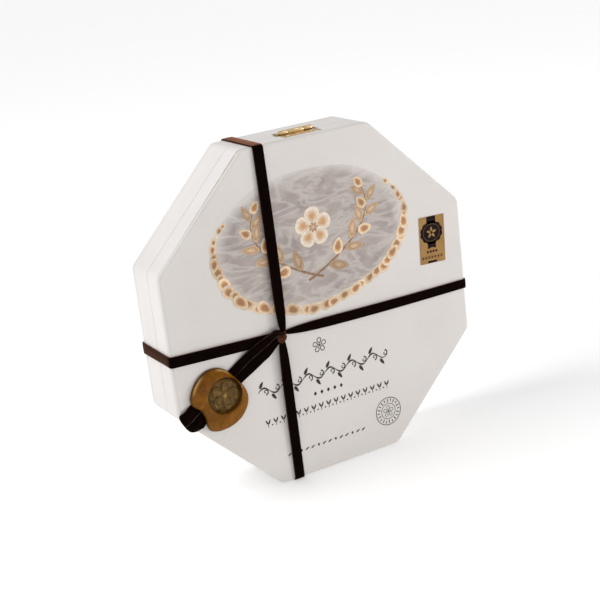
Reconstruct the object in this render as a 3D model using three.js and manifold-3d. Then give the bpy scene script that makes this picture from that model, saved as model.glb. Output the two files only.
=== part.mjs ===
// Octagonal wooden gift case, shut, tied with a crossed velvet ribbon and closed with a wax seal.
// Millimetres. It stands on its bottom flat: X runs across the front, Y from front to back, Z up.
// The pieces are built round the centre of the case's front face; the group then moves as a whole,
// so that the origin is at the bottom centre of everything.

import * as THREE from 'three';
import { mergeVertices } from 'three/addons/utils/BufferGeometryUtils.js';
import Module from 'manifold-3d';

const wasm = await Module();
wasm.setup();

// Case
const acrossFlats = 200;
const lidDepth = 16;
const baseDepth = 20.2;
const boardThickness = 2.5; // front board of the lid and back board of the base
const cornerRadius = 6; // upright corners of the octagon
const frontEdgeRadius = 1.2;
const backEdgeRadius = 0.8;
const seamChamfer = 0.35; // broken edges on both sides of every joint line
const seamGap = 0.3; // joint line between two boards
const touchGap = 0.1; // under what lies on a surface
const half = acrossFlats / 2;
const caseDepth = lidDepth + baseDepth;

// Brass butt hinge, let into the top flat over the joint of lid and base
const hingeX = 2.7;
const barrelLength = 21;
const barrelRadius = 1.5;
const barrelRise = 0.8; // of the barrel's axis over the flat
const boreRadius = 0.75;
const pinRadius = 0.6;
const pinHeadRadius = 1.1;
const pinHeadLength = 0.5;
const knuckleGap = 0.3;
const leafLength = 23;
const leafReach = { lid: 10, base: 5.6 }; // from the barrel's axis to the leaf's outer edge
const leafThickness = 0.6;
const leafCorner = 1.5;
const recessDepth = 0.8;
const recessTaper = 0.5; // extra length of the recess at the surface, at each end
const nailSpacing = 15;
const nailReach = { lid: 6.2, base: 3.8 }; // from the barrel's axis
const nailHeadRadius = 1.3;
const nailHeadRise = 0.55;
const nailShankRadius = 0.5;
const nailLength = 4;
const nailHoleRadius = 0.8;

// Velvet ribbon
const ribbonWidth = 6.4;
const ribbonThickness = 0.9;
const pressedThickness = 0.5; // where the case stands on it
const uprightX = -30.8;
const crossLeftZ = -6.8;
const crossRightZ = -11.9;
const knotX = -32;
const knotZ = -9.3;
const pinchedWidth = 4.4; // where the ribbon is drawn into the knot
const pinchReach = 10;
const uprightLift = 1.4; // off the front at the knot; both runs are taut from there to the case's edges
const crossLift = 0.4;
const backLift = 1.05; // of the upright run over the cross run, at the back
const backReach = 13;

// The ribbon's two tails, side by side from the knot down to the left
const tailAngle = 209.4; // degrees, counted from +X towards +Z
const tailStart = new THREE.Vector2(-35.4, -9.1);
const tailLength = 72;
// Where the long edges of each tail run, across it: drawn together up to the seal, and free beyond it.
// endCut is the slope of the cut end.
const tails = {
  upper: { drawn: [0.15, 4.95], free: [-1.4, 5.2], endCut: 0.1 },
  lower: { drawn: [-5.95, -0.15], free: [-8.2, -1.7], endCut: 0.45 },
};
const tailRelease = [56, 62]; // stretch in which they spread out to their full width
const tailFall = [5, 31]; // stretch in which the tails come down from the knot to the lid
const tailCurl = [62, 1.2]; // where the ends begin to stand off the lid, and how far they get

// Wax seal over the tails
const sealX = -72.4;
const sealZ = -33.7;
const sealRadius = 18;
const sealLobes = [
  { size: 4.7, turns: 1, peak: 219 },
  { size: 1, turns: 2, peak: 122 },
  { size: 0.6, turns: 3, peak: 340 },
];
const sealDent = { depth: 6.2, reach: 21.5, at: 208 }; // where the tails come out
const stampRadius = 10.6;
const petalCount = 5;
const petalRelief = 0.7;
const petalZone = [3, 8.6]; // radii between which the petals stand up
const channelClearance = 0.3;
const sealSteps = 72;

// Foil label on the front board
const labelWidth = 18.2;
const labelHeight = 29;
const labelX = 78.7;
const labelZ = 21;
const labelTurn = 2.8; // degrees, clockwise
const labelThickness = 0.15;
const labelCorner = 0.6;

const arcSteps = 3;
const tau = 2 * Math.PI;
const radians = THREE.MathUtils.degToRad;
const smoothstep = THREE.MathUtils.smoothstep;

const finishes = {
  paint: new THREE.MeshStandardMaterial({ color: '#ece8e4', roughness: 0.45 }),
  board: new THREE.MeshStandardMaterial({ color: '#d9d4cf', roughness: 0.5 }),
  velvet: new THREE.MeshStandardMaterial({ color: '#21100c', roughness: 0.95 }),
  brass: new THREE.MeshStandardMaterial({ color: '#d1a14c', roughness: 0.25, metalness: 1 }),
  wax: new THREE.MeshStandardMaterial({ color: '#8a5a18', roughness: 0.35 }),
  foil: new THREE.MeshStandardMaterial({ color: '#b58b45', roughness: 0.35, metalness: 0.8 }),
};

const group = new THREE.Group();

function addPiece(name, geometry, material) {
  const mesh = new THREE.Mesh(geometry, material);
  mesh.name = name;
  group.add(mesh);
}

// ---- joining and cutting ----

function toSolid(geometry) {
  const bare = geometry.clone();
  bare.deleteAttribute('normal');
  bare.deleteAttribute('uv');
  const merged = mergeVertices(bare, 1e-4);
  return new wasm.Manifold(
    new wasm.Mesh({
      numProp: 3,
      vertProperties: merged.attributes.position.array,
      triVerts: Uint32Array.from(merged.index.array),
    }),
  );
}

function toGeometry(solid) {
  const mesh = solid.getMesh();
  const geometry = new THREE.BufferGeometry();
  geometry.setAttribute('position', new THREE.BufferAttribute(mesh.vertProperties, 3));
  geometry.setIndex(new THREE.BufferAttribute(mesh.triVerts, 1));
  geometry.computeVertexNormals();
  return geometry;
}

function join(...geometries) {
  return toGeometry(geometries.map(toSolid).reduce((whole, piece) => whole.add(piece)));
}

function cut(geometry, ...tools) {
  return toGeometry(tools.map(toSolid).reduce((rest, tool) => rest.subtract(tool), toSolid(geometry)));
}

function keepInside(geometry, tool) {
  return toGeometry(toSolid(geometry).intersect(toSolid(tool)));
}

// ---- basic forms ----

function block([lowX, highX], [lowY, highY], [lowZ, highZ]) {
  const geometry = new THREE.BoxGeometry(highX - lowX, highY - lowY, highZ - lowZ);
  return geometry.translate((lowX + highX) / 2, (lowY + highY) / 2, (lowZ + highZ) / 2);
}

// A rod along X, between two stations.
function rodAlongX(radius, [lowX, highX], y, z, steps = 20) {
  const geometry = new THREE.CylinderGeometry(radius, radius, highX - lowX, steps);
  return geometry.rotateZ(-Math.PI / 2).translate((lowX + highX) / 2, y, z);
}

// A flat outline in X and Z, made thick along Y with both its edges broken or rounded.
function slab(shape, [front, back], edge, edgeSteps) {
  const geometry = new THREE.ExtrudeGeometry(shape, {
    depth: back - front - 2 * edge,
    bevelEnabled: edge > 0,
    bevelThickness: edge,
    bevelSize: edge,
    bevelOffset: -edge,
    bevelSegments: edgeSteps,
    curveSegments: arcSteps,
  });
  return geometry.rotateX(Math.PI / 2).translate(0, back - edge, 0);
}

function roundedPolygon(sides, apothem, radius) {
  const shape = new THREE.Shape();
  const turn = tau / sides;
  const centreDistance = (apothem - radius) / Math.cos(turn / 2);
  for (let i = 0; i < sides; i++) {
    const angle = (i + 0.5) * turn;
    const x = centreDistance * Math.cos(angle);
    const y = centreDistance * Math.sin(angle);
    shape.absarc(x, y, radius, angle - turn / 2, angle + turn / 2, false);
  }
  return shape;
}

function roundedRectangle(width, height, radius) {
  const shape = new THREE.Shape();
  const x = width / 2 - radius;
  const y = height / 2 - radius;
  shape.absarc(x, y, radius, 0, tau / 4, false);
  shape.absarc(-x, y, radius, tau / 4, tau / 2, false);
  shape.absarc(-x, -y, radius, tau / 2, 0.75 * tau, false);
  shape.absarc(x, -y, radius, 0.75 * tau, tau, false);
  return shape;
}

function moveVertices(geometry, map) {
  const position = geometry.attributes.position;
  const point = new THREE.Vector3();
  for (let i = 0; i < position.count; i++) {
    point.fromBufferAttribute(position, i);
    position.setXYZ(i, ...map(point));
  }
  geometry.computeVertexNormals();
  return geometry;
}

// ---- case ----

const octagon = roundedPolygon(8, half, cornerRadius);
const beyond = half + 5; // outside the case on every side

function endBoard([front, back], edgeRadius, outerEdgeInFront) {
  const spare = 2 * edgeRadius;
  const span = outerEdgeInFront ? [front, back + spare] : [front - spare, back];
  const thick = slab(octagon, span, edgeRadius, arcSteps);
  return keepInside(thick, block([-beyond, beyond], [front, back], [-beyond, beyond]));
}

function hingeRecess() {
  const slope = new THREE.Shape();
  const floor = leafLength / 2 + touchGap * 3;
  const mouth = floor + recessTaper * 2;
  slope.moveTo(hingeX - floor, half - recessDepth);
  slope.lineTo(hingeX + floor, half - recessDepth);
  slope.lineTo(hingeX + mouth, half + recessDepth);
  slope.lineTo(hingeX - mouth, half + recessDepth);
  slope.closePath();
  const spare = touchGap * 3;
  const leafPocket = slab(slope, [lidDepth - leafReach.lid - spare, lidDepth + leafReach.base + spare], 0, 0);
  const side = barrelRadius + knuckleGap;
  const end = barrelLength / 2 + pinHeadLength + knuckleGap;
  const barrelPocket = block(
    [hingeX - end, hingeX + end],
    [lidDepth - side, lidDepth + side],
    [half + barrelRise - side, half + side],
  );
  return join(leafPocket, barrelPocket);
}

function nailPlaces() {
  const places = [];
  for (const leaf of ['lid', 'base']) {
    for (const side of [-1, 1]) {
      const y = lidDepth + (leaf === 'lid' ? -nailReach.lid : nailReach.base);
      places.push({ leaf, x: hingeX + (side * nailSpacing) / 2, y });
    }
  }
  return places;
}

function nailHole({ x, y }) {
  const low = half - recessDepth - nailLength;
  const geometry = new THREE.CylinderGeometry(nailHoleRadius, nailHoleRadius, half + 1 - low, 12);
  return geometry.rotateX(Math.PI / 2).translate(x, y, (half + 1 + low) / 2);
}

function makeCase() {
  const parting = [lidDepth - seamGap / 2, lidDepth + seamGap / 2];
  const lidBody = slab(octagon, [boardThickness + seamGap, parting[0]], seamChamfer, 1);
  const baseBody = slab(octagon, [parting[1], caseDepth - boardThickness - seamGap], seamChamfer, 1);
  const cuts = [hingeRecess(), ...nailPlaces().map(nailHole)];
  addPiece('lid_panel', endBoard([0, boardThickness], frontEdgeRadius, true), finishes.board);
  addPiece('lid_body', cut(lidBody, ...cuts), finishes.paint);
  addPiece('base_body', cut(baseBody, ...cuts), finishes.paint);
  const backSpan = [caseDepth - boardThickness, caseDepth];
  addPiece('base_panel', endBoard(backSpan, backEdgeRadius, false), finishes.board);
}

// ---- hinge ----

const leafTop = half - recessDepth + touchGap + leafThickness;
const axisZ = half + barrelRise;

// The barrel is shared out in quarters: the base leaf has the outer two, the lid leaf the middle half.
const quarter = barrelLength / 4;
const knuckles = {
  lid: [[hingeX - quarter + knuckleGap / 2, hingeX + quarter - knuckleGap / 2]],
  base: [
    [hingeX - 2 * quarter, hingeX - quarter - knuckleGap / 2],
    [hingeX + quarter + knuckleGap / 2, hingeX + 2 * quarter],
  ],
};

// One leaf: a plate with clipped outer corners, and its knuckles rolled round the pin.
function hingeLeaf(leaf) {
  const side = leaf === 'lid' ? -1 : 1;
  const inner = barrelRadius + knuckleGap;
  const outer = leafReach[leaf];
  const endX = leafLength / 2;
  const plate = new THREE.Shape();
  plate.moveTo(-endX, side * inner);
  plate.lineTo(-endX, side * (outer - leafCorner));
  plate.lineTo(-endX + leafCorner, side * outer);
  plate.lineTo(endX - leafCorner, side * outer);
  plate.lineTo(endX, side * (outer - leafCorner));
  plate.lineTo(endX, side * inner);
  plate.closePath();
  const flat = new THREE.ExtrudeGeometry(plate, { depth: leafThickness, bevelEnabled: false });
  flat.translate(hingeX, lidDepth, leafTop - leafThickness);
  const pieces = [flat];
  for (const span of knuckles[leaf]) {
    const tab = [side * barrelRadius * 0.2, side * (inner + 1)].map((y) => lidDepth + y);
    tab.sort((a, b) => a - b);
    pieces.push(block(span, tab, [leafTop - leafThickness, leafTop]));
    pieces.push(rodAlongX(barrelRadius, span, lidDepth, axisZ));
  }
  const bore = rodAlongX(boreRadius, [hingeX - barrelLength, hingeX + barrelLength], lidDepth, axisZ, 12);
  const holes = nailPlaces().filter((place) => place.leaf === leaf);
  return cut(join(...pieces), bore, ...holes.map(nailHole));
}

function hingePin() {
  const end = barrelLength / 2 + touchGap;
  const profile = [
    [0, -end - pinHeadLength],
    [pinHeadRadius * 0.7, -end - pinHeadLength],
    [pinHeadRadius, -end - pinHeadLength / 2],
    [pinHeadRadius, -end],
    [pinRadius, -end],
    [pinRadius, end],
    [pinHeadRadius, end],
    [pinHeadRadius, end + pinHeadLength / 2],
    [pinHeadRadius * 0.7, end + pinHeadLength],
    [0, end + pinHeadLength],
  ];
  const geometry = new THREE.LatheGeometry(profile.map(([r, y]) => new THREE.Vector2(r, y)), 12);
  return geometry.rotateZ(-Math.PI / 2).translate(hingeX, lidDepth, axisZ);
}

function hingeNail({ x, y }) {
  const under = leafTop + touchGap / 2;
  const profile = [
    [0, under - nailLength],
    [nailShankRadius, under - nailLength + 1],
    [nailShankRadius, under],
    [nailHeadRadius, under],
    [nailHeadRadius * 0.9, under + nailHeadRise * 0.5],
    [nailHeadRadius * 0.55, under + nailHeadRise * 0.9],
    [0, under + nailHeadRise],
  ];
  const geometry = new THREE.LatheGeometry(profile.map(([r, h]) => new THREE.Vector2(r, h)), 14);
  return geometry.rotateX(Math.PI / 2).translate(x, y, 0);
}

function makeHinge() {
  addPiece('hinge_leaf_lid', hingeLeaf('lid'), finishes.brass);
  addPiece('hinge_leaf_base', hingeLeaf('base'), finishes.brass);
  addPiece('hinge_pin', hingePin(), finishes.brass);
  nailPlaces().forEach((place, i) => addPiece(`hinge_nail_${i + 1}`, hingeNail(place), finishes.brass));
}

// ---- ribbon round the case ----

const hump = (distance, reach) => Math.exp(-((distance / reach) ** 2));

function arc(points, u, v, radius, from, to) {
  for (let i = 0; i <= arcSteps; i++) {
    const angle = radians(from + ((to - from) * i) / arcSteps);
    points.push(new THREE.Vector2(u + radius * Math.cos(angle), v + radius * Math.sin(angle)));
  }
}

// The outline of a belt round the case: u is the depth, v runs along the belt's two long runs.
function beltOutline(low, high, front, back, radius, stations) {
  const points = stations.map((v) => new THREE.Vector2(front(v), v));
  arc(points, front(high) + radius, high - radius, radius, 180, 90);
  arc(points, back(high) - radius, high - radius, radius, 90, 0);
  points.push(...stations.toReversed().map((v) => new THREE.Vector2(back(v), v)));
  arc(points, back(low) - radius, low + radius, radius, 0, -90);
  arc(points, front(low) + radius, low + radius, radius, -90, -180);
  return points;
}

// A run from the knot to either edge of the case is straight, so its lift falls off evenly.
function tautLift(most, middle, v) {
  const edge = v < middle ? -half : half;
  return (most * (edge - v)) / (edge - middle);
}

function belt({ middle, frontLift, backHump, lowThickness, place }) {
  const stations = [-28, -20, -14, -9, -4.5, 0, 4.5, 9, 14, 20, 28].map((step) => middle + step);
  const front = (v) => -touchGap - tautLift(frontLift, middle, v);
  const back = (v) => caseDepth + touchGap + backHump * hump(v - middle, backReach);
  const inside = half + touchGap;
  const inner = beltOutline(-inside, inside, front, back, 1, stations);
  const outer = beltOutline(
    -inside - lowThickness,
    inside + ribbonThickness,
    (v) => front(v) - ribbonThickness,
    (v) => back(v) + ribbonThickness,
    1.6,
    stations,
  );
  const ring = new THREE.Shape(outer);
  ring.holes.push(new THREE.Path(inner.toReversed()));
  return moveVertices(new THREE.ExtrudeGeometry(ring, { depth: 1, bevelEnabled: false }), place);
}

// The ribbon is drawn together on the front only, on both sides of the knot.
function widthAt(depth, distance) {
  const drawn = depth < caseDepth / 2 ? hump(distance, pinchReach) : 0;
  return ribbonWidth - (ribbonWidth - pinchedWidth) * drawn;
}

function crossHeight(x) {
  const end = x < knotX ? { x: -half, z: crossLeftZ } : { x: half, z: crossRightZ };
  return THREE.MathUtils.mapLinear(x, knotX, end.x, knotZ, end.z);
}

function uprightBelt() {
  return belt({
    middle: knotZ,
    frontLift: uprightLift,
    backHump: backLift,
    lowThickness: pressedThickness,
    place: ({ x: depth, y: height, z: side }) => [
      uprightX + (side - 0.5) * widthAt(depth, height - knotZ),
      depth,
      height,
    ],
  });
}

function crossBelt() {
  return belt({
    middle: knotX,
    frontLift: crossLift,
    backHump: 0,
    lowThickness: ribbonThickness,
    place: ({ x: depth, y: along, z: side }) => [
      along,
      depth,
      crossHeight(along) - (side - 0.5) * widthAt(depth, along - knotX),
    ],
  });
}

// ---- knot, tails and seal: all measured outward from the front face ----

const overRuns = touchGap + uprightLift + ribbonThickness; // outer face of the upright run at the knot
const tailRest = overRuns + touchGap;
const knotRest = tailRest + ribbonThickness + touchGap;

function pebble(x, height, z, [radiusX, radiusHeight, radiusZ]) {
  const geometry = new THREE.SphereGeometry(1, 16, 12);
  return geometry.scale(radiusX, radiusHeight, radiusZ).translate(x, -height, z);
}

// A round lump, and over it the narrow turn of ribbon that it is drawn tight with.
function ribbonKnot() {
  const lump = pebble(knotX - 0.2, knotRest + 0.4, knotZ - 0.9, [3.7, 3, 3.4]);
  const turn = pebble(knotX + 0.4, knotRest + 0.4, knotZ + 2.3, [3.5, 2.6, 1.6]);
  const front = [-knotRest - half, -knotRest];
  return keepInside(join(lump, turn), block([-beyond, beyond], front, [-beyond, beyond]));
}

function tailHeight(s) {
  const falling = 1 - smoothstep(s, tailFall[0], tailFall[1]);
  const curling = smoothstep(s, tailCurl[0], tailLength) * tailCurl[1];
  return touchGap + (tailRest - touchGap) * falling + curling;
}

// From along the tail, outward and across it, to the case's own axes.
const tailFrame = new THREE.Matrix4().makeBasis(
  new THREE.Vector3(Math.cos(radians(tailAngle)), 0, Math.sin(radians(tailAngle))),
  new THREE.Vector3(0, -1, 0),
  new THREE.Vector3(Math.sin(radians(tailAngle)), 0, -Math.cos(radians(tailAngle))),
);
tailFrame.setPosition(tailStart.x, 0, tailStart.y);

function ribbonTail({ drawn, free, endCut }) {
  const stations = [0, 5, 8, 11, 14, 17, 20, 23, 26, 29, 31, 46, 56, 58, 60, 62, 65, 68, 71, tailLength];
  const steps = stations.length - 1;
  const strip = new THREE.BoxGeometry(steps, 1, 1, steps).translate(steps / 2, 0.5, 0.5);
  moveVertices(strip, ({ x: index, y: over, z: side }) => {
    const s = stations[Math.round(index)];
    const release = smoothstep(s, tailRelease[0], tailRelease[1]);
    const across = THREE.MathUtils.lerp(drawn[Math.round(side)], free[Math.round(side)], release);
    const along = s === tailLength ? s - endCut * Math.abs(across) : s;
    return [along, tailHeight(s) + Math.round(over) * ribbonThickness, across];
  });
  return strip.applyMatrix4(tailFrame);
}

// Radius and height of the wax: stamped field, raised rim, and the round shoulder squeezed out round it.
const sealProfile = [
  [0, 3.4],
  [1.6, 3.3],
  [2.4, 2.8],
  [3, 2.7],
  [4.2, 2.75],
  [5.6, 2.8],
  [7, 2.75],
  [8.6, 2.7],
  [9.6, 2.5],
  [stampRadius, 4.2],
  [11.4, 4.6],
  [12.6, 4.5],
  [14.6, 4.2],
  [16.2, 3.3],
  [17.3, 2.2],
  [sealRadius, 1.1],
  [sealRadius - 0.4, touchGap],
  [0, touchGap],
];

function sealEdge(angle) {
  let radius = sealRadius;
  for (const { size, turns, peak } of sealLobes) {
    radius += size * Math.cos(turns * (angle - radians(peak)));
  }
  const { depth, reach, at } = sealDent;
  const away = THREE.MathUtils.euclideanModulo(angle - radians(at) + Math.PI, tau) - Math.PI;
  return radius - depth * Math.exp(-(Math.abs(away / radians(reach)) ** 3));
}

function petals(radius, angle) {
  const [inside, outside] = petalZone;
  if (radius <= inside || radius >= outside) return 0;
  const swell = Math.sin((Math.PI * (radius - inside)) / (outside - inside));
  return petalRelief * swell * Math.abs(Math.cos((petalCount / 2) * angle));
}

// The room that the two tails take up under the wax.
function tailChannel() {
  const [start, end] = [tailFall[1], tailLength];
  const [free, drawn] = ['free', 'drawn'].map((state) => ({
    low: tails.lower[state][0] - channelClearance,
    high: tails.upper[state][1] + channelClearance,
  }));
  const plan = new THREE.Shape();
  plan.moveTo(start, -drawn.high);
  plan.lineTo(tailRelease[0], -drawn.high);
  plan.lineTo(tailRelease[1], -free.high);
  plan.lineTo(end, -free.high);
  plan.lineTo(end, -free.low);
  plan.lineTo(tailRelease[1], -free.low);
  plan.lineTo(tailRelease[0], -drawn.low);
  plan.lineTo(start, -drawn.low);
  plan.closePath();
  const height = touchGap + ribbonThickness + channelClearance;
  return new THREE.ExtrudeGeometry(plan, { depth: height, bevelEnabled: false }).rotateX(-Math.PI / 2);
}

function waxSeal() {
  const points = sealProfile.map(([radius, height]) => new THREE.Vector2(radius, height));
  const blob = new THREE.LatheGeometry(points.toReversed(), sealSteps);
  // The lathe turns about its Y; half a turn about X points that outward, to the front.
  moveVertices(blob.rotateX(Math.PI), ({ x, y, z }) => {
    const radius = Math.hypot(x, z);
    const angle = Math.atan2(z, x);
    const spread = (sealEdge(angle) - stampRadius) / (sealRadius - stampRadius);
    const bottom = -y <= touchGap + 1e-4 || radius === 0;
    const stretched = radius <= stampRadius ? radius : stampRadius + (radius - stampRadius) * spread;
    const rise = bottom ? 0 : petals(radius, angle);
    const scale = radius > 0 ? stretched / radius : 1;
    return [sealX + x * scale, y - rise, sealZ + z * scale];
  });
  return cut(blob, tailChannel().applyMatrix4(tailFrame));
}

function makeRibbonAndSeal() {
  addPiece('ribbon_upright', uprightBelt(), finishes.velvet);
  addPiece('ribbon_cross', crossBelt(), finishes.velvet);
  addPiece('ribbon_knot', ribbonKnot(), finishes.velvet);
  addPiece('ribbon_tail_upper', ribbonTail(tails.upper), finishes.velvet);
  addPiece('ribbon_tail_lower', ribbonTail(tails.lower), finishes.velvet);
  addPiece('wax_seal', waxSeal(), finishes.wax);
}

// ---- label ----

function makeLabel() {
  const shape = roundedRectangle(labelWidth, labelHeight, labelCorner);
  const label = slab(shape, [-touchGap - labelThickness, -touchGap], 0, 0);
  addPiece('foil_label', label.rotateY(radians(labelTurn)).translate(labelX, 0, labelZ), finishes.foil);
}

makeCase();
makeHinge();
makeRibbonAndSeal();
makeLabel();

const box = new THREE.Box3().setFromObject(group, true);
const centre = box.getCenter(new THREE.Vector3());
group.position.set(-centre.x, -centre.y, -box.min.z);
group.updateMatrixWorld(true);

const part = new THREE.Group();
part.add(group);

export default part;
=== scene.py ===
# Octagonal gift case of painted wood, shut, tied with a crossed velvet ribbon and closed with sealing wax.
# Places are millimetres from the centre of the front board: x to the right, z up, out towards the viewer.
# place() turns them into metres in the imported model's frame.

import math

import bmesh
import bpy
from mathutils import Matrix, Vector, noise


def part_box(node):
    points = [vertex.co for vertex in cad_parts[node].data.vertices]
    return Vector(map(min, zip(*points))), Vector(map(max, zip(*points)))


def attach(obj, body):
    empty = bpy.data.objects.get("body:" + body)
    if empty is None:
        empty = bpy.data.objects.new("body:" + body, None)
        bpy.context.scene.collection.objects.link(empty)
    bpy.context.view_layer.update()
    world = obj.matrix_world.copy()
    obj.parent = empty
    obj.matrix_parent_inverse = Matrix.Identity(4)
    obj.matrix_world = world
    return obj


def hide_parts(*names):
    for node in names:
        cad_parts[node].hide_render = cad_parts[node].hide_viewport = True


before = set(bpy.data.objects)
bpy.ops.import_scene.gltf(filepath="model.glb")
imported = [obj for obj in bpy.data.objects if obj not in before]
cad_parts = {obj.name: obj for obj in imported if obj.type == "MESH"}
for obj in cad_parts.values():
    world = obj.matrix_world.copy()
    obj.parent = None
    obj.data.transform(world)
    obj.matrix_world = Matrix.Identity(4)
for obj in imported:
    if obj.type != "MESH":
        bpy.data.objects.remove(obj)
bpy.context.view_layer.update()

mm = 0.001
turn = 2 * math.pi
closeEnough = 0.01  # millimetres within which two levels count as the same
boards = ["lid_panel", "lid_body", "base_body", "base_panel"]

frontLow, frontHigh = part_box("lid_panel")
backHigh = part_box("base_panel")[1]
faceCentre = Vector(((frontLow.x + frontHigh.x) / 2, frontLow.y, (frontLow.z + frontHigh.z) / 2))
half = (frontHigh.x - frontLow.x) / 2 / mm
caseDepth = (backHigh.y - frontLow.y) / mm


def place(x, z, out=0.0):
    return faceCentre + Vector((x, -out, z)) * mm


def measured(point):  # x, z, out in millimetres
    away = (point - faceCentre) / mm
    return away.x, away.z, -away.y


def blendValue(value, low, high):
    share = min(max((value - low) / (high - low), 0.0), 1.0)
    return share * share * (3 - 2 * share)


# These let an operator act on one piece alone.

def deselectAll():
    if bpy.context.mode != "OBJECT":
        bpy.ops.object.mode_set(mode="OBJECT")
    bpy.ops.object.select_all(action="DESELECT")


def makeActive(piece):
    deselectAll()
    piece.select_set(True)
    bpy.context.view_layer.objects.active = piece


def startPiece(operator, **settings):
    deselectAll()
    operator(**settings)
    return bpy.context.object


def fixPlace(piece):
    makeActive(piece)
    bpy.ops.object.transform_apply(location=True, rotation=True, scale=True)


def pick(piece, kind, wanted):  # leaves the piece in edit mode with only the wanted parts selected
    makeActive(piece)
    bpy.ops.object.mode_set(mode="EDIT")
    bpy.ops.mesh.select_mode(type=kind)
    bpy.ops.mesh.select_all(action="DESELECT")
    shape = bmesh.from_edit_mesh(piece.data)
    for part in {"VERT": shape.verts, "EDGE": shape.edges, "FACE": shape.faces}[kind]:
        if wanted(part):
            part.select_set(True)
    shape.select_flush_mode()
    bmesh.update_edit_mesh(piece.data)


def middleOf(part):
    if isinstance(part, bmesh.types.BMFace):
        return part.calc_center_median()
    return (part.verts[0].co + part.verts[1].co) / 2


def useModifier(piece, kind, **settings):
    makeActive(piece)
    bpy.ops.object.modifier_add(type=kind)
    modifier = piece.modifiers[-1]
    for name, value in settings.items():
        setattr(modifier, name, value)
    bpy.ops.object.modifier_apply(modifier=modifier.name)


def cutWith(piece, cutter):
    useModifier(piece, "BOOLEAN", object=cutter, operation="DIFFERENCE", solver="EXACT")
    bpy.data.objects.remove(cutter)


def roundEdges(piece, width, steps, angle=40):
    useModifier(piece, "BEVEL", width=width * mm, segments=steps, limit_method="ANGLE",
                angle_limit=math.radians(angle))


def smoothFaces(piece, angle=40, weighted=False):
    makeActive(piece)
    bpy.ops.object.shade_smooth_by_angle(angle=math.radians(angle))
    if weighted:
        useModifier(piece, "WEIGHTED_NORMAL", keep_sharp=True)


def tidyShell(piece, joinDistance=0.001):
    pick(piece, "VERT", lambda vert: True)
    bpy.ops.mesh.remove_doubles(threshold=joinDistance * mm)
    bpy.ops.mesh.normals_make_consistent(inside=False)
    bpy.ops.object.mode_set(mode="OBJECT")


def joinPieces(pieces):
    makeActive(pieces[0])
    for piece in pieces[1:]:
        piece.select_set(True)
    if len(pieces) > 1:
        bpy.ops.object.join()
    return pieces[0]


def dress(piece, name, slotName, *finishes, stands=()):
    fixPlace(piece)
    piece.name = piece.data.name = name
    piece.data.materials.clear()
    for finish in finishes:
        piece.data.materials.append(finish)
    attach(piece, "root")
    if stands:
        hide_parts(*stands)


def spinProfile(profile, steps):  # (radius, height) pairs turned about the Z axis at the world's centre
    piece = startPiece(bpy.ops.mesh.primitive_plane_add, size=mm)
    bpy.ops.object.mode_set(mode="EDIT")
    bpy.ops.mesh.select_mode(type="VERT")
    bpy.ops.mesh.select_all(action="SELECT")
    bpy.ops.mesh.merge(type="CENTER")
    bpy.ops.mesh.select_all(action="SELECT")
    points = [Vector((radius, 0, height)) * mm for radius, height in profile]
    bpy.ops.transform.translate(value=points[0])
    for last, point in zip(points, points[1:]):
        bpy.ops.mesh.extrude_region_move(TRANSFORM_OT_translate={"value": point - last})
    bpy.ops.mesh.select_all(action="SELECT")
    bpy.ops.mesh.spin(steps=steps, angle=turn, center=(0, 0, 0), axis=(0, 0, 1))
    bpy.ops.object.mode_set(mode="OBJECT")
    tidyShell(piece)
    return piece


# Each of these adds a node or a few to a finish.

def startFinish(name, **sockets):
    finish = bpy.data.materials.new(name)
    finish.use_nodes = True
    shader = finish.node_tree.nodes["Principled BSDF"]
    for socket, value in sockets.items():
        shader.inputs[socket.replace("_", " ")].default_value = value
    return finish


def addNode(finish, kind, sockets=None, **settings):
    node = finish.node_tree.nodes.new("ShaderNode" + kind)
    for name, value in settings.items():
        setattr(node, name, value)
    for name, value in (sockets or {}).items():
        if isinstance(value, bpy.types.NodeSocket):
            finish.node_tree.links.new(value, node.inputs[name])
        else:
            node.inputs[name].default_value = value
    return node


def feed(finish, socket, value):
    shader = finish.node_tree.nodes["Principled BSDF"]
    finish.node_tree.links.new(value, shader.inputs[socket])


def coordinates(finish, stretch=(1, 1, 1), turned=(0, 0, 0)):
    source = addNode(finish, "TexCoord").outputs["Object"]
    return addNode(finish, "Mapping", {"Vector": source, "Scale": stretch, "Rotation": turned}).outputs[0]


def wrapCoordinates(finish, stretch=(1, 1, 1)):
    source = addNode(finish, "TexCoord").outputs["UV"]
    return addNode(finish, "Mapping", {"Vector": source, "Scale": stretch}).outputs[0]


def grain(finish, vector, scale, detail=3.0, roughness=0.5, distortion=0.0):
    return addNode(finish, "TexNoise", {"Vector": vector, "Scale": scale, "Detail": detail,
                                        "Roughness": roughness, "Distortion": distortion}).outputs[0]


def spread(finish, value, low, high, toLow=0.0, toHigh=1.0):
    return addNode(finish, "MapRange", {"Value": value, "From Min": low, "From Max": high,
                                        "To Min": toLow, "To Max": toHigh}).outputs[0]


def compute(finish, operation, first, second=0.0):
    return addNode(finish, "Math", {0: first, 1: second}, operation=operation).outputs[0]


def mixColours(finish, share, first, second, blend="MIX"):
    node = addNode(finish, "Mix", {0: share, 6: first, 7: second}, data_type="RGBA", blend_type=blend)
    return node.outputs[2]


def addBump(finish, height, strength, depth, under=None):
    sockets = {"Height": height, "Strength": strength, "Distance": depth * mm}
    if under:
        sockets["Normal"] = under
    return addNode(finish, "Bump", sockets).outputs[0]


def distanceFrom(finish, x, z, squash=1.0):  # in mm along the front; squash is height over width
    centre = place(x, z)
    source = addNode(finish, "TexCoord").outputs["Object"]
    scale = (1 / mm, 0, 1 / mm / squash)
    moved = addNode(finish, "VectorMath", {0: source, 1: centre}, operation="SUBTRACT").outputs[0]
    flat = addNode(finish, "VectorMath", {0: moved, 1: scale}, operation="MULTIPLY").outputs[0]
    return addNode(finish, "VectorMath", {0: flat}, operation="LENGTH").outputs["Value"]


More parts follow.
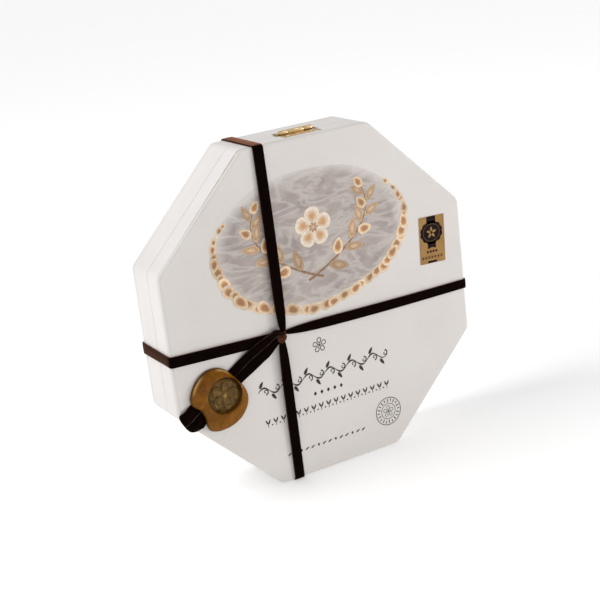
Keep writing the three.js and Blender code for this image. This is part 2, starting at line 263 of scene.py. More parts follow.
def alongAxis(finish, axis, start):  # millimetres along one axis of the frame
    source = addNode(finish, "TexCoord").outputs["Object"]
    parts = addNode(finish, "SeparateXYZ", {0: source})
    return compute(finish, "MULTIPLY", compute(finish, "SUBTRACT", parts.outputs[axis], start), 1 / mm)


# Painted wood, and the bare wood in the hinge's pocket

paint = {
    "body": ((0.79, 0.762, 0.742, 1), (0.755, 0.725, 0.703, 1)),
    "front": ((0.70, 0.664, 0.634, 1), (0.672, 0.634, 0.602, 1)),
    "raw": (0.42, 0.22, 0.11, 1),
    "roughness": (0.44, 0.56), "gloss": 0.35, "grainDepth": 0.02,
    "seamCorner": (-46, 97), "seamReach": (6, 62), "seamBand": (0.3, 0.62),  # where the front seam is worn
}
# The darkest tone of the pocket's wood is painted shade, darker towards the bottom of the pocket.
pocketWood = {
    "light": (0.62, 0.45, 0.28, 1), "dark": (0.34, 0.2, 0.1, 1), "paintedShade": (0.075, 0.05, 0.028, 1),
    "paintedShadeFrom": (-1.2, -0.3), "roughness": 0.78, "grainDepth": 0.05,
}


def makePaint(kind):
    finish = startFinish(f"satin paint, {kind}", Specular_IOR_Level=paint["gloss"])
    cloud = grain(finish, coordinates(finish), 26, 4)
    colour = mixColours(finish, spread(finish, cloud, 0.35, 0.65), *paint[kind])
    depth = alongAxis(finish, "Y", frontHigh.y)
    band = spread(finish, compute(finish, "ABSOLUTE", depth), *paint["seamBand"], 1, 0)
    near = spread(finish, distanceFrom(finish, *paint["seamCorner"]), *paint["seamReach"], 1, 0)
    broken = spread(finish, grain(finish, coordinates(finish), 420, 2), 0.3, 0.55, 0.35, 1)
    worn = compute(finish, "MULTIPLY", compute(finish, "MULTIPLY", band, near), broken)
    feed(finish, "Base Color", mixColours(finish, worn, colour, paint["raw"]))
    fibres = grain(finish, coordinates(finish, (40, 400, 520)), 1, 5, 0.62)
    peel = grain(finish, coordinates(finish), 900, 2)
    feed(finish, "Roughness", spread(finish, cloud, 0.3, 0.7, *paint["roughness"]))
    wood = addBump(finish, fibres, 0.35, paint["grainDepth"])
    feed(finish, "Normal", addBump(finish, peel, 0.12, paint["grainDepth"], wood))
    return finish


def makeRawWood():
    finish = startFinish("raw wood", Roughness=pocketWood["roughness"])
    rings = grain(finish, coordinates(finish, (60, 700, 700)), 1, 6, 0.65)
    colour = mixColours(finish, spread(finish, rings, 0.3, 0.7), pocketWood["light"], pocketWood["dark"])
    # Painted shade: the bare wood turns darker further below the case's top, as if the pocket lay in shadow.
    height = alongAxis(finish, "Z", place(0, half).z)
    paintedShade = spread(finish, height, *pocketWood["paintedShadeFrom"], 1, 0)
    feed(finish, "Base Color", mixColours(finish, paintedShade, colour, pocketWood["paintedShade"]))
    feed(finish, "Normal", addBump(finish, rings, 0.5, pocketWood["grainDepth"]))
    return finish


bodyPaint = makePaint("body")
frontPaint = makePaint("front")
rawWood = makeRawWood()

caseShape = {
    "cornerRadius": 6, "cornerSteps": 8, "frontEdge": 1.2, "backEdge": 0.8, "seamHighlight": 0.22, "edgeSteps": 4,
    "fillerInset": 0.2, "smoothAngle": 35,
    "recessDepth": 0.8, "recessTaper": 0.5, "recessClearance": 0.3,
    "barrelClearance": 0.25, "slotEnds": 2.6, "slotStretch": 1.7, "slotSides": 32,
    "bareReach": (0.5, 11), "bareFloor": 90, "bareSkin": 0.05,  # the box in which faces are bare wood
}


def addBoard(front, back, inset, frontEdge, backEdge):  # depths behind the face, and its broken edges
    radius = (half - inset) / math.cos(turn / 16)
    board = startPiece(bpy.ops.mesh.primitive_cylinder_add, vertices=8, radius=radius * mm,
                       depth=(back - front) * mm, location=place(0, 0, -(front + back) / 2),
                       rotation=(turn / 4, turn / 16, 0))
    fixPlace(board)
    halfDepth = (back - front) / 2 * mm
    pick(board, "EDGE", lambda edge: abs(edge.verts[0].co.y - edge.verts[1].co.y) > halfDepth)
    bpy.ops.mesh.bevel(offset=caseShape["cornerRadius"] * math.tan(turn / 16) * mm,
                       segments=caseShape["cornerSteps"], affect="EDGES")
    bpy.ops.object.mode_set(mode="OBJECT")
    for depth, width in ((front, frontEdge), (back, backEdge)):
        if not width:
            continue
        level = place(0, 0, -depth).y
        near = closeEnough * mm
        pick(board, "EDGE", lambda edge: all(abs(vert.co.y - level) < near for vert in edge.verts))
        bpy.ops.mesh.bevel(offset=width * mm, segments=caseShape["edgeSteps"], affect="EDGES")
        bpy.ops.object.mode_set(mode="OBJECT")
    return board


def depthsOf(node):
    low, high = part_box(node)
    return (low.y - faceCentre.y) / mm, (high.y - faceCentre.y) / mm


leafLow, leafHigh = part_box("hinge_leaf_lid")
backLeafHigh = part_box("hinge_leaf_base")[1]
pinLow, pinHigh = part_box("hinge_pin")
pinLength = (pinHigh.x - pinLow.x) / mm
hingeX = measured(pinLow)[0] / 2 + measured(pinHigh)[0] / 2
barrelDepth = -(measured(pinLow)[2] + measured(pinHigh)[2]) / 2
barrelZ = (measured(pinLow)[1] + measured(pinHigh)[1]) / 2


def addRecessCutter():  # for the tapered pocket that holds both leaves
    shape = caseShape
    floorHalf = (leafHigh.x - leafLow.x) / 2 / mm + shape["recessClearance"]
    reach = (backLeafHigh.y - leafLow.y) / 2 / mm + shape["recessClearance"]
    middle = (measured(leafLow)[2] + measured(backLeafHigh)[2]) / 2
    low, high = half - shape["recessDepth"], half + shape["recessDepth"]
    pocket = startPiece(bpy.ops.mesh.primitive_cube_add, size=1,
                        location=place(hingeX, (low + high) / 2, middle),
                        scale=(2 * floorHalf * mm, 2 * reach * mm, (high - low) * mm))
    fixPlace(pocket)
    pick(pocket, "FACE", lambda face: face.normal.z > 0.9)
    widen = (floorHalf + 2 * shape["recessTaper"]) / floorHalf
    bpy.ops.transform.resize(value=(widen, 1, 1), center_override=place(hingeX, high, middle))
    bpy.ops.object.mode_set(mode="OBJECT")
    return pocket


def addBarrelCutter():  # for the deeper slot under the barrel
    radius = (leafHigh.z - place(0, barrelZ).z) / mm + caseShape["barrelClearance"]
    length = pinLength + 2 * caseShape["slotEnds"]
    slot = startPiece(bpy.ops.mesh.primitive_cylinder_add, vertices=caseShape["slotSides"],
                      radius=radius * mm, depth=length * mm, location=place(hingeX, barrelZ, -barrelDepth),
                      rotation=(0, turn / 4, 0), scale=(1, caseShape["slotStretch"], 1))
    fixPlace(slot)
    return slot


def inRecess(centre):  # true for a face that one of the cutters left
    x, z, out = measured(centre)
    sideways, inwards = caseShape["bareReach"]
    reach = pinLength / 2 + caseShape["slotEnds"] + sideways
    level = caseShape["bareFloor"] < z < half - caseShape["bareSkin"]
    return abs(x - hingeX) < reach and level and abs(-out - barrelDepth) < inwards


def makeCase():
    shape = caseShape
    edges = {"lid_panel": (shape["frontEdge"], shape["seamHighlight"]),
             "lid_body": (shape["seamHighlight"], shape["seamHighlight"] * 2),
             "base_body": (shape["seamHighlight"] * 2, shape["seamHighlight"]),
             "base_panel": (shape["seamHighlight"], shape["backEdge"])}
    for node in boards:
        board = addBoard(*depthsOf(node), 0, *edges[node])
        if node.endswith("body"):
            cutWith(board, addRecessCutter())
            cutWith(board, addBarrelCutter())
        smoothFaces(board, shape["smoothAngle"], weighted=True)
        cover = frontPaint if node == "lid_panel" else bodyPaint
        dress(board, "painted_" + node, "lacquered_wood", cover, rawWood, stands=[node])
        for face in board.data.polygons:
            face.material_index = 1 if node.endswith("body") and inRecess(face.center) else 0
    seams = [(depthsOf("lid_panel")[1], depthsOf("lid_body")[0]),
             (depthsOf("base_body")[1], depthsOf("base_panel")[0])]
    filler = joinPieces([addBoard(front, back, shape["fillerInset"], 0, 0) for front, back in seams])
    smoothFaces(filler, shape["smoothAngle"])
    dress(filler, "painted_glue_lines", "lacquered_wood", bodyPaint)
    print("case boards done")


makeCase()


# Brass hinge

brass = {
    "bright": (0.93, 0.72, 0.43, 1), "dull": (0.8, 0.57, 0.28, 1), "dark": (0.16, 0.08, 0.02, 1),
    "roughness": (0.27, 0.33), "scratchDepth": 0.01, "stainFrom": (-0.6, 0.5),
    "leafThickness": 0.6, "leafCorner": 2, "edgeRound": 0.1, "knuckleGap": 0.15,
    "rollStart": 1.8, "rollAngle": 318, "spinSteps": 22,
    "headLength": 0.5, "headRoom": 1.2,  # one head, and what both take from the pin's length
    "headShape": [(0, 0), (0.6, 0), (0.95, 0.4), (1, 1), (0.75, 1)],  # shares of radius and of head length
    "nailPoint": [(0, 0), (0.35, 0.6), (0.5, 1)], "nailShank": 0.5, "nailRise": 0.55, "domeSteps": 8,
    "pinSteps": 28,
}


def makeBrass():
    finish = startFinish("aged brass", Metallic=1.0)
    tarnish = grain(finish, coordinates(finish), 260, 4, 0.6)
    colour = mixColours(finish, spread(finish, tarnish, 0.4, 0.7), brass["bright"], brass["dull"])
    height = alongAxis(finish, "Z", place(0, half).z)
    low = spread(finish, height, *brass["stainFrom"], 0.8, 0)
    spots = spread(finish, grain(finish, coordinates(finish), 700, 3), 0.48, 0.64)
    stained = compute(finish, "MULTIPLY", low, spots)
    feed(finish, "Base Color", mixColours(finish, stained, colour, brass["dark"]))
    feed(finish, "Roughness", spread(finish, tarnish, 0.3, 0.7, *brass["roughness"]))
    scratches = grain(finish, coordinates(finish, (300, 3000, 3000)), 1, 2)
    feed(finish, "Normal", addBump(finish, scratches, 0.03, brass["scratchDepth"]))
    return finish


brassFinish = makeBrass()


def addLeaf(node, side):  # side -1 reaches to the front, 1 to the back
    low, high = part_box(node)
    thickness, rollStart, gap = brass["leafThickness"], brass["rollStart"], brass["knuckleGap"]
    bottom = measured(low)[1]
    outer = -measured(low if side < 0 else high)[2]
    inner = barrelDepth + side * rollStart
    spanLow, spanHigh = measured(low)[0], measured(high)[0]
    plate = startPiece(bpy.ops.mesh.primitive_cube_add, size=1,
                       location=place(hingeX, bottom + thickness / 2, -(outer + inner) / 2),
                       scale=((spanHigh - spanLow) * mm, abs(outer - inner) * mm, thickness * mm))
    fixPlace(plate)
    outerY = place(0, 0, -outer).y
    pick(plate, "EDGE", lambda edge: abs(edge.verts[0].co.z - edge.verts[1].co.z) > thickness / 2 * mm
         and abs(middleOf(edge).y - outerY) < closeEnough * mm)
    bpy.ops.mesh.bevel(offset=brass["leafCorner"] * mm, segments=1, affect="EDGES")
    quarter = (pinLength - brass["headRoom"]) / 4
    if side < 0:
        spans = [(-quarter + gap, quarter - gap)]
    else:
        spans = [(-2 * quarter, -quarter - gap), (quarter + gap, 2 * quarter)]
    for start, end in spans:
        for x in (start, end):
            bpy.ops.mesh.select_all(action="SELECT")
            bpy.ops.mesh.bisect(plane_co=place(hingeX + x, 0), plane_no=(1, 0, 0))
    bpy.ops.object.mode_set(mode="OBJECT")
    for start, end in spans:
        pick(plate, "FACE", lambda face: face.normal.y * -side > 0.9
             and start < measured(middleOf(face))[0] - hingeX < end)
        bpy.ops.mesh.extrude_region_move(TRANSFORM_OT_translate={"value": (0, -side * rollStart * mm, 0)})
        bpy.ops.mesh.spin(steps=brass["spinSteps"], angle=math.radians(side * brass["rollAngle"]),
                          center=place(hingeX, barrelZ, -barrelDepth), axis=(1, 0, 0))
        bpy.ops.object.mode_set(mode="OBJECT")
    roundEdges(plate, brass["edgeRound"], 2, 50)
    smoothFaces(plate, 35)
    dress(plate, "brass_" + node, "brass", brassFinish, stands=[node])


def addPin():
    length, head = pinLength / 2, brass["headLength"]
    radius = (pinHigh.z - pinLow.z) / 2 / mm
    low = [(radius * share, head * step - length) for share, step in brass["headShape"]]
    high = [(radius * share, length - head * step) for share, step in reversed(brass["headShape"])]
    pin = spinProfile(low + high, brass["pinSteps"])
    pin.rotation_euler = (0, turn / 4, 0)
    pin.location = place(hingeX, barrelZ, -barrelDepth)
    smoothFaces(pin, 50)
    dress(pin, "brass_hinge_pin", "brass", brassFinish, stands=["hinge_pin"])


def addNail(index):
    node = f"hinge_nail_{index}"
    low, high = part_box(node)
    radius, length = (high.x - low.x) / 2 / mm, (high.z - low.z) / mm
    rise, steps = brass["nailRise"], brass["domeSteps"]
    under = length - rise
    angles = [turn * i / (4 * steps) for i in range(1, steps)]
    dome = [(radius * math.cos(angle), under + rise * math.sin(angle)) for angle in angles]
    profile = brass["nailPoint"] + [(brass["nailShank"], under), (radius, under)] + dome + [(0, length)]
    nail = spinProfile(profile, brass["pinSteps"])
    nail.location = ((low.x + high.x) / 2, (low.y + high.y) / 2, low.z)
    smoothFaces(nail, 50)
    dress(nail, "brass_" + node, "brass", brassFinish, stands=[node])


def makeHinge():
    addLeaf("hinge_leaf_lid", -1)
    addLeaf("hinge_leaf_base", 1)
    addPin()
    for index in range(1, 5):
        addNail(index)
    print("hinge done")


makeHinge()


# Velvet ribbon

velvet = {
    "pile": (0.0016, 0.0007, 0.0006, 1), "pileLight": (0.005, 0.0018, 0.0013, 1),
    # The next line's upward-facing tone is painted sheen: faces turned up are made lighter brown.
    "sheen": (0.72, 0.36, 0.25, 1), "paintedTopSheen": (0.13, 0.05, 0.028, 1), "paintedTopSheenFrom": (0.8, 0.98),
    # The knot's lighter pile tones are painted sheen, standing in for pile that is seen edge-on in the knot.
    "knotSheenPile": (0.045, 0.016, 0.007, 1), "knotSheenLight": (0.11, 0.044, 0.022, 1),
    "knotSheen": (0.6, 0.3, 0.18, 1), "turnLight": (0.03, 0.014, 0.009, 1),
    # The selvedge tone is the ribbon's real woven edge; the tails' seam tone is a painted highlight along the
    # lower tail's edges.
    "selvedge": (0.018, 0.009, 0.008, 1), "seamHighlight": (0.085, 0.07, 0.066, 1), "edgeFrom": (0.472, 0.484),
    "tuftScale": 3600, "tuftDepth": 0.09, "strokeDepth": 0.12,
    "thickness": 0.9, "pressed": 0.5, "columns": 16, "edgeRound": 0.34, "crown": 0.14, "cupPower": 2.5,
    "touch": 0.1, "wrapLength": 10,  # the gap to the wood, and the ribbon's length to one unit of its UV map
}


# The edge tone is the real selvedge on the belts, and a painted highlight on the lower tail.
def makeVelvet(name, sheenWeight, *tones):  # tones: pile, lighter pile, sheen and edge, as named in velvet
    pile, pileLight, sheenTint, edge = (velvet[tone] for tone in tones)
    finish = startFinish(name, Roughness=0.9, Specular_IOR_Level=0.01, Sheen_Weight=sheenWeight,
                         Sheen_Roughness=0.3, Sheen_Tint=sheenTint)
    nap = grain(finish, wrapCoordinates(finish, (3, 0.5, 1)), 3, 4, 0.6)
    colour = mixColours(finish, spread(finish, nap, 0.42, 0.68), pile, pileLight)
    # Painted sheen: faces turned upwards get a lighter brown, standing in for the sheen that light from above
    # gives the pile.
    facing = addNode(finish, "SeparateXYZ", {0: addNode(finish, "TexCoord").outputs["Normal"]}).outputs["Z"]
    colour = mixColours(finish, spread(finish, facing, *velvet["paintedTopSheenFrom"]), colour, velvet["paintedTopSheen"])
    across = addNode(finish, "SeparateXYZ", {0: wrapCoordinates(finish)}).outputs["X"]
    fromMiddle = compute(finish, "ABSOLUTE", compute(finish, "SUBTRACT", across, 0.5))
    # Along both edges is a lighter line: the woven selvedge on the belts, a painted highlight on the lower
    # tail. Noise breaks it up.
    selvedgeAndHighlight = spread(finish, fromMiddle, *velvet["edgeFrom"])
    edgeBreakup = spread(finish, grain(finish, coordinates(finish), 260, 2), 0.38, 0.6, 0.25, 1)
    selvedgeAndHighlight = compute(finish, "MULTIPLY", selvedgeAndHighlight, edgeBreakup)
    feed(finish, "Base Color", mixColours(finish, selvedgeAndHighlight, colour, edge))
    tufts = grain(finish, coordinates(finish), velvet["tuftScale"], 3, 0.7)
    strokes = grain(finish, wrapCoordinates(finish, (14, 3, 1)), 2, 3)
    soft = addBump(finish, strokes, 0.5, velvet["strokeDepth"])
    feed(finish, "Normal", addBump(finish, tufts, 0.55, velvet["tuftDepth"], soft))
    return finish


beltVelvet = makeVelvet("brown velvet", 1, "pile", "pileLight", "sheen", "selvedge")
# The lower tail's edges carry a painted highlight.
tailVelvet = makeVelvet("brown velvet, painted edge highlight", 1, "pile", "pileLight", "sheen", "seamHighlight")
# The knot's lighter pile is painted sheen.
knotVelvet = makeVelvet("velvet, lightened for painted sheen", 0.6, "knotSheenPile", "knotSheenLight", "knotSheen", "knotSheenLight")
turnVelvet = makeVelvet("pressed velvet", 1, "pileLight", "turnLight", "knotSheen", "turnLight")


def addStrap(rows):
    # Each row: centre, across and outward as vectors, width, and where wanted folds (size, count) with their
    # phase, cup and the share of the full thickness.
    columns = velvet["columns"]
    strap = startPiece(bpy.ops.mesh.primitive_grid_add, x_subdivisions=columns, y_subdivisions=len(rows) - 1,
                       size=mm, calc_uvs=True)
    mesh = strap.data
    along, places = 0.0, []
    for i, row in enumerate(rows):
        if i:
            along += (row["centre"] - rows[i - 1]["centre"]).length / mm
        places.append(along)
        foldSize, foldCount = row.get("folds", (0, 1))
        for j in range(columns + 1):
            u = 2 * j / columns - 1
            rise = velvet["crown"] * (1 - u * u) + row.get("cup", 0) * abs(u) ** velvet["cupPower"]
            rise += foldSize * math.cos(math.pi * foldCount * u + row.get("phase", 0))
            point = row["centre"] + row["across"] * (u * row["width"] / 2 * mm) + row["outward"] * (rise * mm)
            mesh.vertices[i * (columns + 1) + j].co = point
    uvs = mesh.uv_layers.active.data
    for loop in mesh.loops:
        row, column = divmod(loop.vertex_index, columns + 1)
        uvs[loop.index].uv = (column / columns, places[row] / velvet["wrapLength"])
    group = strap.vertex_groups.new(name="thick")
    for i, row in enumerate(rows):
        indices = list(range(i * (columns + 1), (i + 1) * (columns + 1)))
        group.add(indices, row.get("thick", 1.0), "REPLACE")
    useModifier(strap, "SOLIDIFY", thickness=velvet["thickness"] * mm, offset=0, vertex_group="thick")
    tidyShell(strap)
    roundEdges(strap, velvet["edgeRound"], 3, 50)
    smoothFaces(strap, 60)
    return strap


def stepsBetween(start, end, longest):
    count = max(1, math.ceil(abs(end - start) / longest))
    return [start + (end - start) * i / count for i in range(count)]


belt = {
    "bendRadius": 1.75, "bendSteps": 6, "humpReach": 13,
    "nearKnot": 16, "fineStep": 0.8, "frontStep": 5, "sideStep": 4, "backStep": 3,
    "foldSize": 0.26, "foldCount": 1.8, "foldReach": 6, "foldPhase": (0.7, 0.04), "unfolded": 99,
    "pressedFrom": (6, 0.5),  # above the bottom edge, where the case stands on the ribbon
}


def beltRoute(middle, lift, backHump, lowThickness):
    # Points (out, v) on the ribbon's middle surface, from the knot over the high side and back round to it.
    touch, radius, near = velvet["touch"] + velvet["thickness"] / 2, belt["bendRadius"], belt["nearKnot"]
    highEnd, lowEnd = half + touch, -half - velvet["touch"] - lowThickness / 2

    def front(v):
        edge = highEnd if v > middle else lowEnd
        return touch + lift * (edge - v) / (edge - middle)

    def back(v):
        return -caseDepth - touch - backHump * math.exp(-(((v - middle) / belt["humpReach"]) ** 2))

    def corner(centreOut, centreV, start):
        count = belt["bendSteps"]
        angles = [math.radians(start + 90 * i / count) for i in range(count)]
        return [(centreOut + radius * math.cos(a), centreV + radius * math.sin(a)) for a in angles]

    top, bottom = highEnd - radius, lowEnd + radius
    levels = stepsBetween(middle, middle + near, belt["fineStep"])
    levels += stepsBetween(middle + near, top, belt["frontStep"])
    points = [(front(v), v) for v in levels]
    points += corner(front(top) - radius, top, 0)
    run = stepsBetween(front(top) - radius, back(top) + radius, belt["sideStep"])
    points += [(out, highEnd) for out in run]
    points += corner(back(top) + radius, top, 90)
    points += [(back(v), v) for v in stepsBetween(top, bottom, belt["backStep"])]
    points += corner(back(bottom) + radius, bottom, 180)
    run = stepsBetween(back(bottom) + radius, front(bottom) - radius, belt["sideStep"])
    points += [(out, lowEnd) for out in run]
    points += corner(front(bottom) - radius, bottom, 270)
    levels = stepsBetween(bottom, middle - near, belt["frontStep"])
    levels += stepsBetween(middle - near, middle, belt["fineStep"])
    points += [(front(v), v) for v in levels]
    return points + [(front(middle), middle)]


def beltRows(route, middle, layAcross, toPlace, pressed):
    rows = []
    phase, phaseRun = belt["foldPhase"]
    pressStart, pressEnd = belt["pressedFrom"]
    for i, (out, v) in enumerate(route):
        before, after = route[max(i - 1, 0)], route[min(i + 1, len(route) - 1)]
        slope = Vector((after[0] - before[0], after[1] - before[1])).normalized()
        centre, width = layAcross(v, out)
        ahead = toPlace(slope.x, slope.y, 0) - toPlace(0, 0, 0)
        outward = toPlace(slope.y, -slope.x, 0) - toPlace(0, 0, 0)
        away = abs(v - middle) if out > -1 else belt["unfolded"]
        low = pressed and blendValue(v, -half + pressStart, -half + pressEnd) if out < -0.5 else 0
        rows.append({"centre": toPlace(out, v, centre), "outward": outward.normalized(),
                     "across": ahead.cross(outward).normalized(), "width": width,
                     "folds": (belt["foldSize"] * math.exp(-away / belt["foldReach"]), belt["foldCount"]),
                     "phase": phase + v * phaseRun,
                     "thick": 1 - (1 - velvet["pressed"] / velvet["thickness"]) * low})
    return rows


upright = {
    "x": -30.9, "lift": 1.9, "backHump": 1.05, "width": 6.4, "bow": 0.45,
    "above": {"shift": 0.7, "shiftReach": 15, "gather": 4.6, "gatherReach": 7.5, "narrowest": 2.6},
    "below": {"shift": 0.85, "slant": 0.0165, "slimmer": 0.3, "gather": 4.6, "gatherReach": 7,
              "narrowest": 3.2},
}
cross = {
    "left": (-100, -6.95), "flat": -9.4, "right": (100, -12.0), "lift": 0.4, "width": 6.4, "bow": 0.65,
    "flatRun": 50, "gather": 3.2, "gatherReach": 6,
    "step": 0.8, "stepReach": 2, "rightSlimmer": 0.1, "rightGather": 6, "rightGatherReach": 10.5,
    "narrowest": 1.9, "taper": 0.7, "sideSlimmer": 0.5, "sideReach": 4,
}
knotX, knotZ = -32, -9.3


def uprightLay(z, out):  # the middle of the ribbon and its width
    away = abs(z - knotZ)
    if z > knotZ:
        part = upright["above"]
        shift = part["shift"] * math.exp(-away / part["shiftReach"])
        shift += upright["bow"] * math.sin(math.pi * min(away / (half - knotZ), 1))
        width = upright["width"]
    else:
        part = upright["below"]
        shift = part["slant"] * away - part["shift"]
        width = upright["width"] - part["slimmer"]
    width = max(width - part["gather"] * math.exp(-away / part["gatherReach"]), part["narrowest"])
    behind = blendValue(-out, 0, caseDepth)
    return upright["x"] + shift * (1 - behind), width + (upright["width"] - width) * behind


def crossLay(x, out):
    leftX, leftZ = cross["left"]
    rightX, rightZ = cross["right"]
    away = abs(x - knotX)
    if x < knotX:
        centre = leftZ + (cross["flat"] - leftZ) * min((x - leftX) / cross["flatRun"], 1)
        width = cross["width"] - cross["gather"] * math.exp(-away / cross["gatherReach"])
    else:
        run = away / (rightX - knotX)
        start = cross["flat"] + cross["step"]
        centre = start + (rightZ - start) * run - cross["step"] * math.exp(-away / cross["stepReach"])
        centre -= cross["bow"] * math.sin(math.pi * min(run, 1))
        width = cross["width"] - cross["rightSlimmer"]
        width -= cross["rightGather"] * math.exp(-away / cross["rightGatherReach"])
        width = max(width, cross["narrowest"]) - cross["taper"] * run
    width -= cross["sideSlimmer"] * blendValue(-out, 0, cross["sideReach"])
    behind = blendValue(-out, 0, caseDepth)
    level = leftZ + (rightZ - leftZ) * (x - leftX) / (rightX - leftX)
    return centre + (level - centre) * behind, width + (cross["width"] - width) * behind


def makeBelts():
    route = beltRoute(knotZ, upright["lift"], upright["backHump"], velvet["pressed"])
    rows = beltRows(route, knotZ, uprightLay, lambda out, z, x: place(x, z, out), True)
    dress(addStrap(rows), "velvet_upright_run", "velvet", beltVelvet, stands=["ribbon_upright"])
    route = beltRoute(knotX, cross["lift"], 0, velvet["thickness"])
    rows = beltRows(route, knotX, crossLay, lambda out, x, z: place(x, z, out), False)
    dress(addStrap(rows), "velvet_cross_run", "velvet", beltVelvet, stands=["ribbon_cross"])
    print("crossed ribbon done")


makeBelts()


# Tails of the ribbon

tailLength = 72.6
tails = {
    "angle": 209.4, "start": (-35.4, -9.1), "rest": 2.5, "fall": (4, 30), "seamGap": 0.24,
    "stations": [(-4.2, 31, 1), (31, 55, 3), (55, tailLength, 0.7)],  # from, to and the longest step
    "gather": (2.4, -4.2, -1.2),  # how much narrower under the knot, from and to
    "release": (56, 62), "curl": (62, 68, 1.3), "droop": (68, tailLength, 0.9), "cup": (59, 66, -0.6),
    "knotFold": 0.3, "knotFoldReach": 9, "looseFold": 0.12, "foldCount": 2.2, "foldPhase": 0.9,
    "endMiddle": -0.5, "endHalf": 8.2, "endRound": 4, "endReach": 9,
}
tailLines = {  # the place at the knot, changes along the tail (size, from, to) and the change once free
    "seam": (0.5, [(-1, 18, 30)], -1.05),
    "upper": (3.9, [(1.7, -2, 12), (-0.8, 18, 34)], 1.3),
    "lower": (-4.2, [(-1.9, 0, 12), (-0.6, 12, 24)], -3),
}
tailAhead = Vector((math.cos(math.radians(tails["angle"])), 0, math.sin(math.radians(tails["angle"]))))
tailUp = Vector((tailAhead.z, 0, -tailAhead.x))
faceOut = Vector((0, -1, 0))


def tailPlace(s, q, out):
    x, z = tails["start"]
    return place(x, z, out) + (tailAhead * s + tailUp * q) * mm


def tailHeight(s):
    high = 1 - blendValue(s, *tails["fall"])
    start, end, rise = tails["curl"]
    bend, tip, drop = tails["droop"]
    curl = blendValue(s, start, end) * rise - blendValue(s, bend, tip) * drop
    return velvet["touch"] + (tails["rest"] - velvet["touch"]) * high + curl + velvet["thickness"] / 2


def tailLine(kind, s):
    level, changes, opening = tailLines[kind]
    for size, start, end in changes:
        level += size * blendValue(s, start, end)
    return level + opening * blendValue(s, *tails["release"])


def tailEdges(kind, s):  # drawn together from the knot to the seal, then free
    size, start, end = tails["gather"]
    gathered = size * (1 - blendValue(s, start, end))
    seam, outer = tailLine("seam", s), tailLine(kind, s)
    if kind == "upper":
        return seam + tails["seamGap"] / 2, outer - gathered
    return outer + gathered, seam - tails["seamGap"] / 2


def addTail(kind):
    rows = []
    loose, free, cup = tails["cup"]
    stations = [s for run in tails["stations"] for s in stepsBetween(*run)] + [tailLength]
    for s in stations:
        low, high = tailEdges(kind, s)
        slope = tailHeight(s + 0.5) - tailHeight(s - 0.5)
        outward = (faceOut - tailAhead * slope).normalized()
        share = blendValue(s, loose, free)
        fold = tails["knotFold"] * math.exp(-max(s, 0) / tails["knotFoldReach"]) + tails["looseFold"] * share
        rows.append({"centre": tailPlace(s, (low + high) / 2, tailHeight(s)), "across": -tailUp,
                     "outward": outward, "width": high - low, "cup": cup * share,
                     "folds": (fold, tails["foldCount"]), "phase": tails["foldPhase"]})
    strap = addStrap(rows)
    for vert in strap.data.vertices:  # the corners of the cut ends fall back
        away = vert.co - tailPlace(0, 0, 0)
        s, q = away.dot(tailAhead) / mm, away.dot(tailUp) / mm
        share = blendValue(s, tailLength - tails["endReach"], tailLength)
        back = tails["endRound"] * (abs(q - tails["endMiddle"]) / tails["endHalf"]) ** 4
        vert.co -= tailAhead * (back * share * mm)
    return strap


def makeTails():
    for kind, finish in (("upper", beltVelvet), ("lower", tailVelvet)):
        dress(addTail(kind), "velvet_tail_" + kind, "velvet", finish, stands=["ribbon_tail_" + kind])
    print("tails done")


makeTails()


# Knot

knot = {
    "lump": {
        "x": -32.25, "z": -10.3, "out": 3.4, "radii": (2.95, 3.2, 3.1), "segments": (64, 40), "lean": 0.25,
        "waist": (0.26, -0.1, 1.0), "crown": (0.08, 0.4, 1.0),  # narrower below and above: how much, from, to
        "square": (1.2, 0.25, 0.75),  # a power, and the shares of the curved and the straight form
        "foldSize": 0.1, "foldCount": 11, "foldsFrom": -1.9, "foldPhase": 0.6, "foldRise": 0.3,
        "crinkle": (0.04, 9, 7), "puff": (0.07, 1.8),  # how high, and how close
    },
    "band": {
        "width": 1.5, "z": -7.6, "left": -34.6, "right": -30.0, "peak": 2.7, "base": 3.0, "steps": 26,
        "roundness": 0.8, "slant": 0.3, "across": (0.12, 0, -1), "sideTilt": 0.8, "lift": 0.2,
        "widths": (1.15, 0.35), "folds": (0.16, 1.7), "foldPhase": 0.4,
    },
}


def addLump():
    lump = knot["lump"]
    segments, rings = lump["segments"]
    piece = startPiece(bpy.ops.mesh.primitive_uv_sphere_add, segments=segments, ring_count=rings, radius=1,
                       location=(0, 0, 0), rotation=(turn / 4, 0, 0))
    fixPlace(piece)
    radiusX, radiusOut, radiusZ = lump["radii"]
    waist, crown = lump["waist"], lump["crown"]
    crinkle, crinkleX, crinkleZ = lump["crinkle"]
    puffSize, puffScale = lump["puff"]
    power, curved, straight = lump["square"]
    for vert in piece.data.vertices:
        x, out, z = vert.co.x, -vert.co.y, vert.co.z
        narrow = 1 - waist[0] * blendValue(-z, *waist[1:]) - crown[0] * blendValue(z, *crown[1:])
        fan = math.atan2(x, z - lump["foldsFrom"])
        crease = lump["foldSize"] * math.cos(lump["foldCount"] * fan + lump["foldPhase"]) * max(out, 0)
        crease += crinkle * math.cos(x * crinkleX - z * crinkleZ)
        puff = 1 + crease + puffSize * noise.noise(Vector((x, out, z)) * puffScale)
        flat = abs(x) ** power * math.copysign(1, x) * curved + x * straight
        vert.co = place(lump["x"] + flat * radiusX * narrow * puff + z * lump["lean"],
                        lump["z"] + z * radiusZ * (1 + crease * lump["foldRise"]),
                        lump["out"] + out * radiusOut * puff)
    smoothFaces(piece, 80)
    return piece


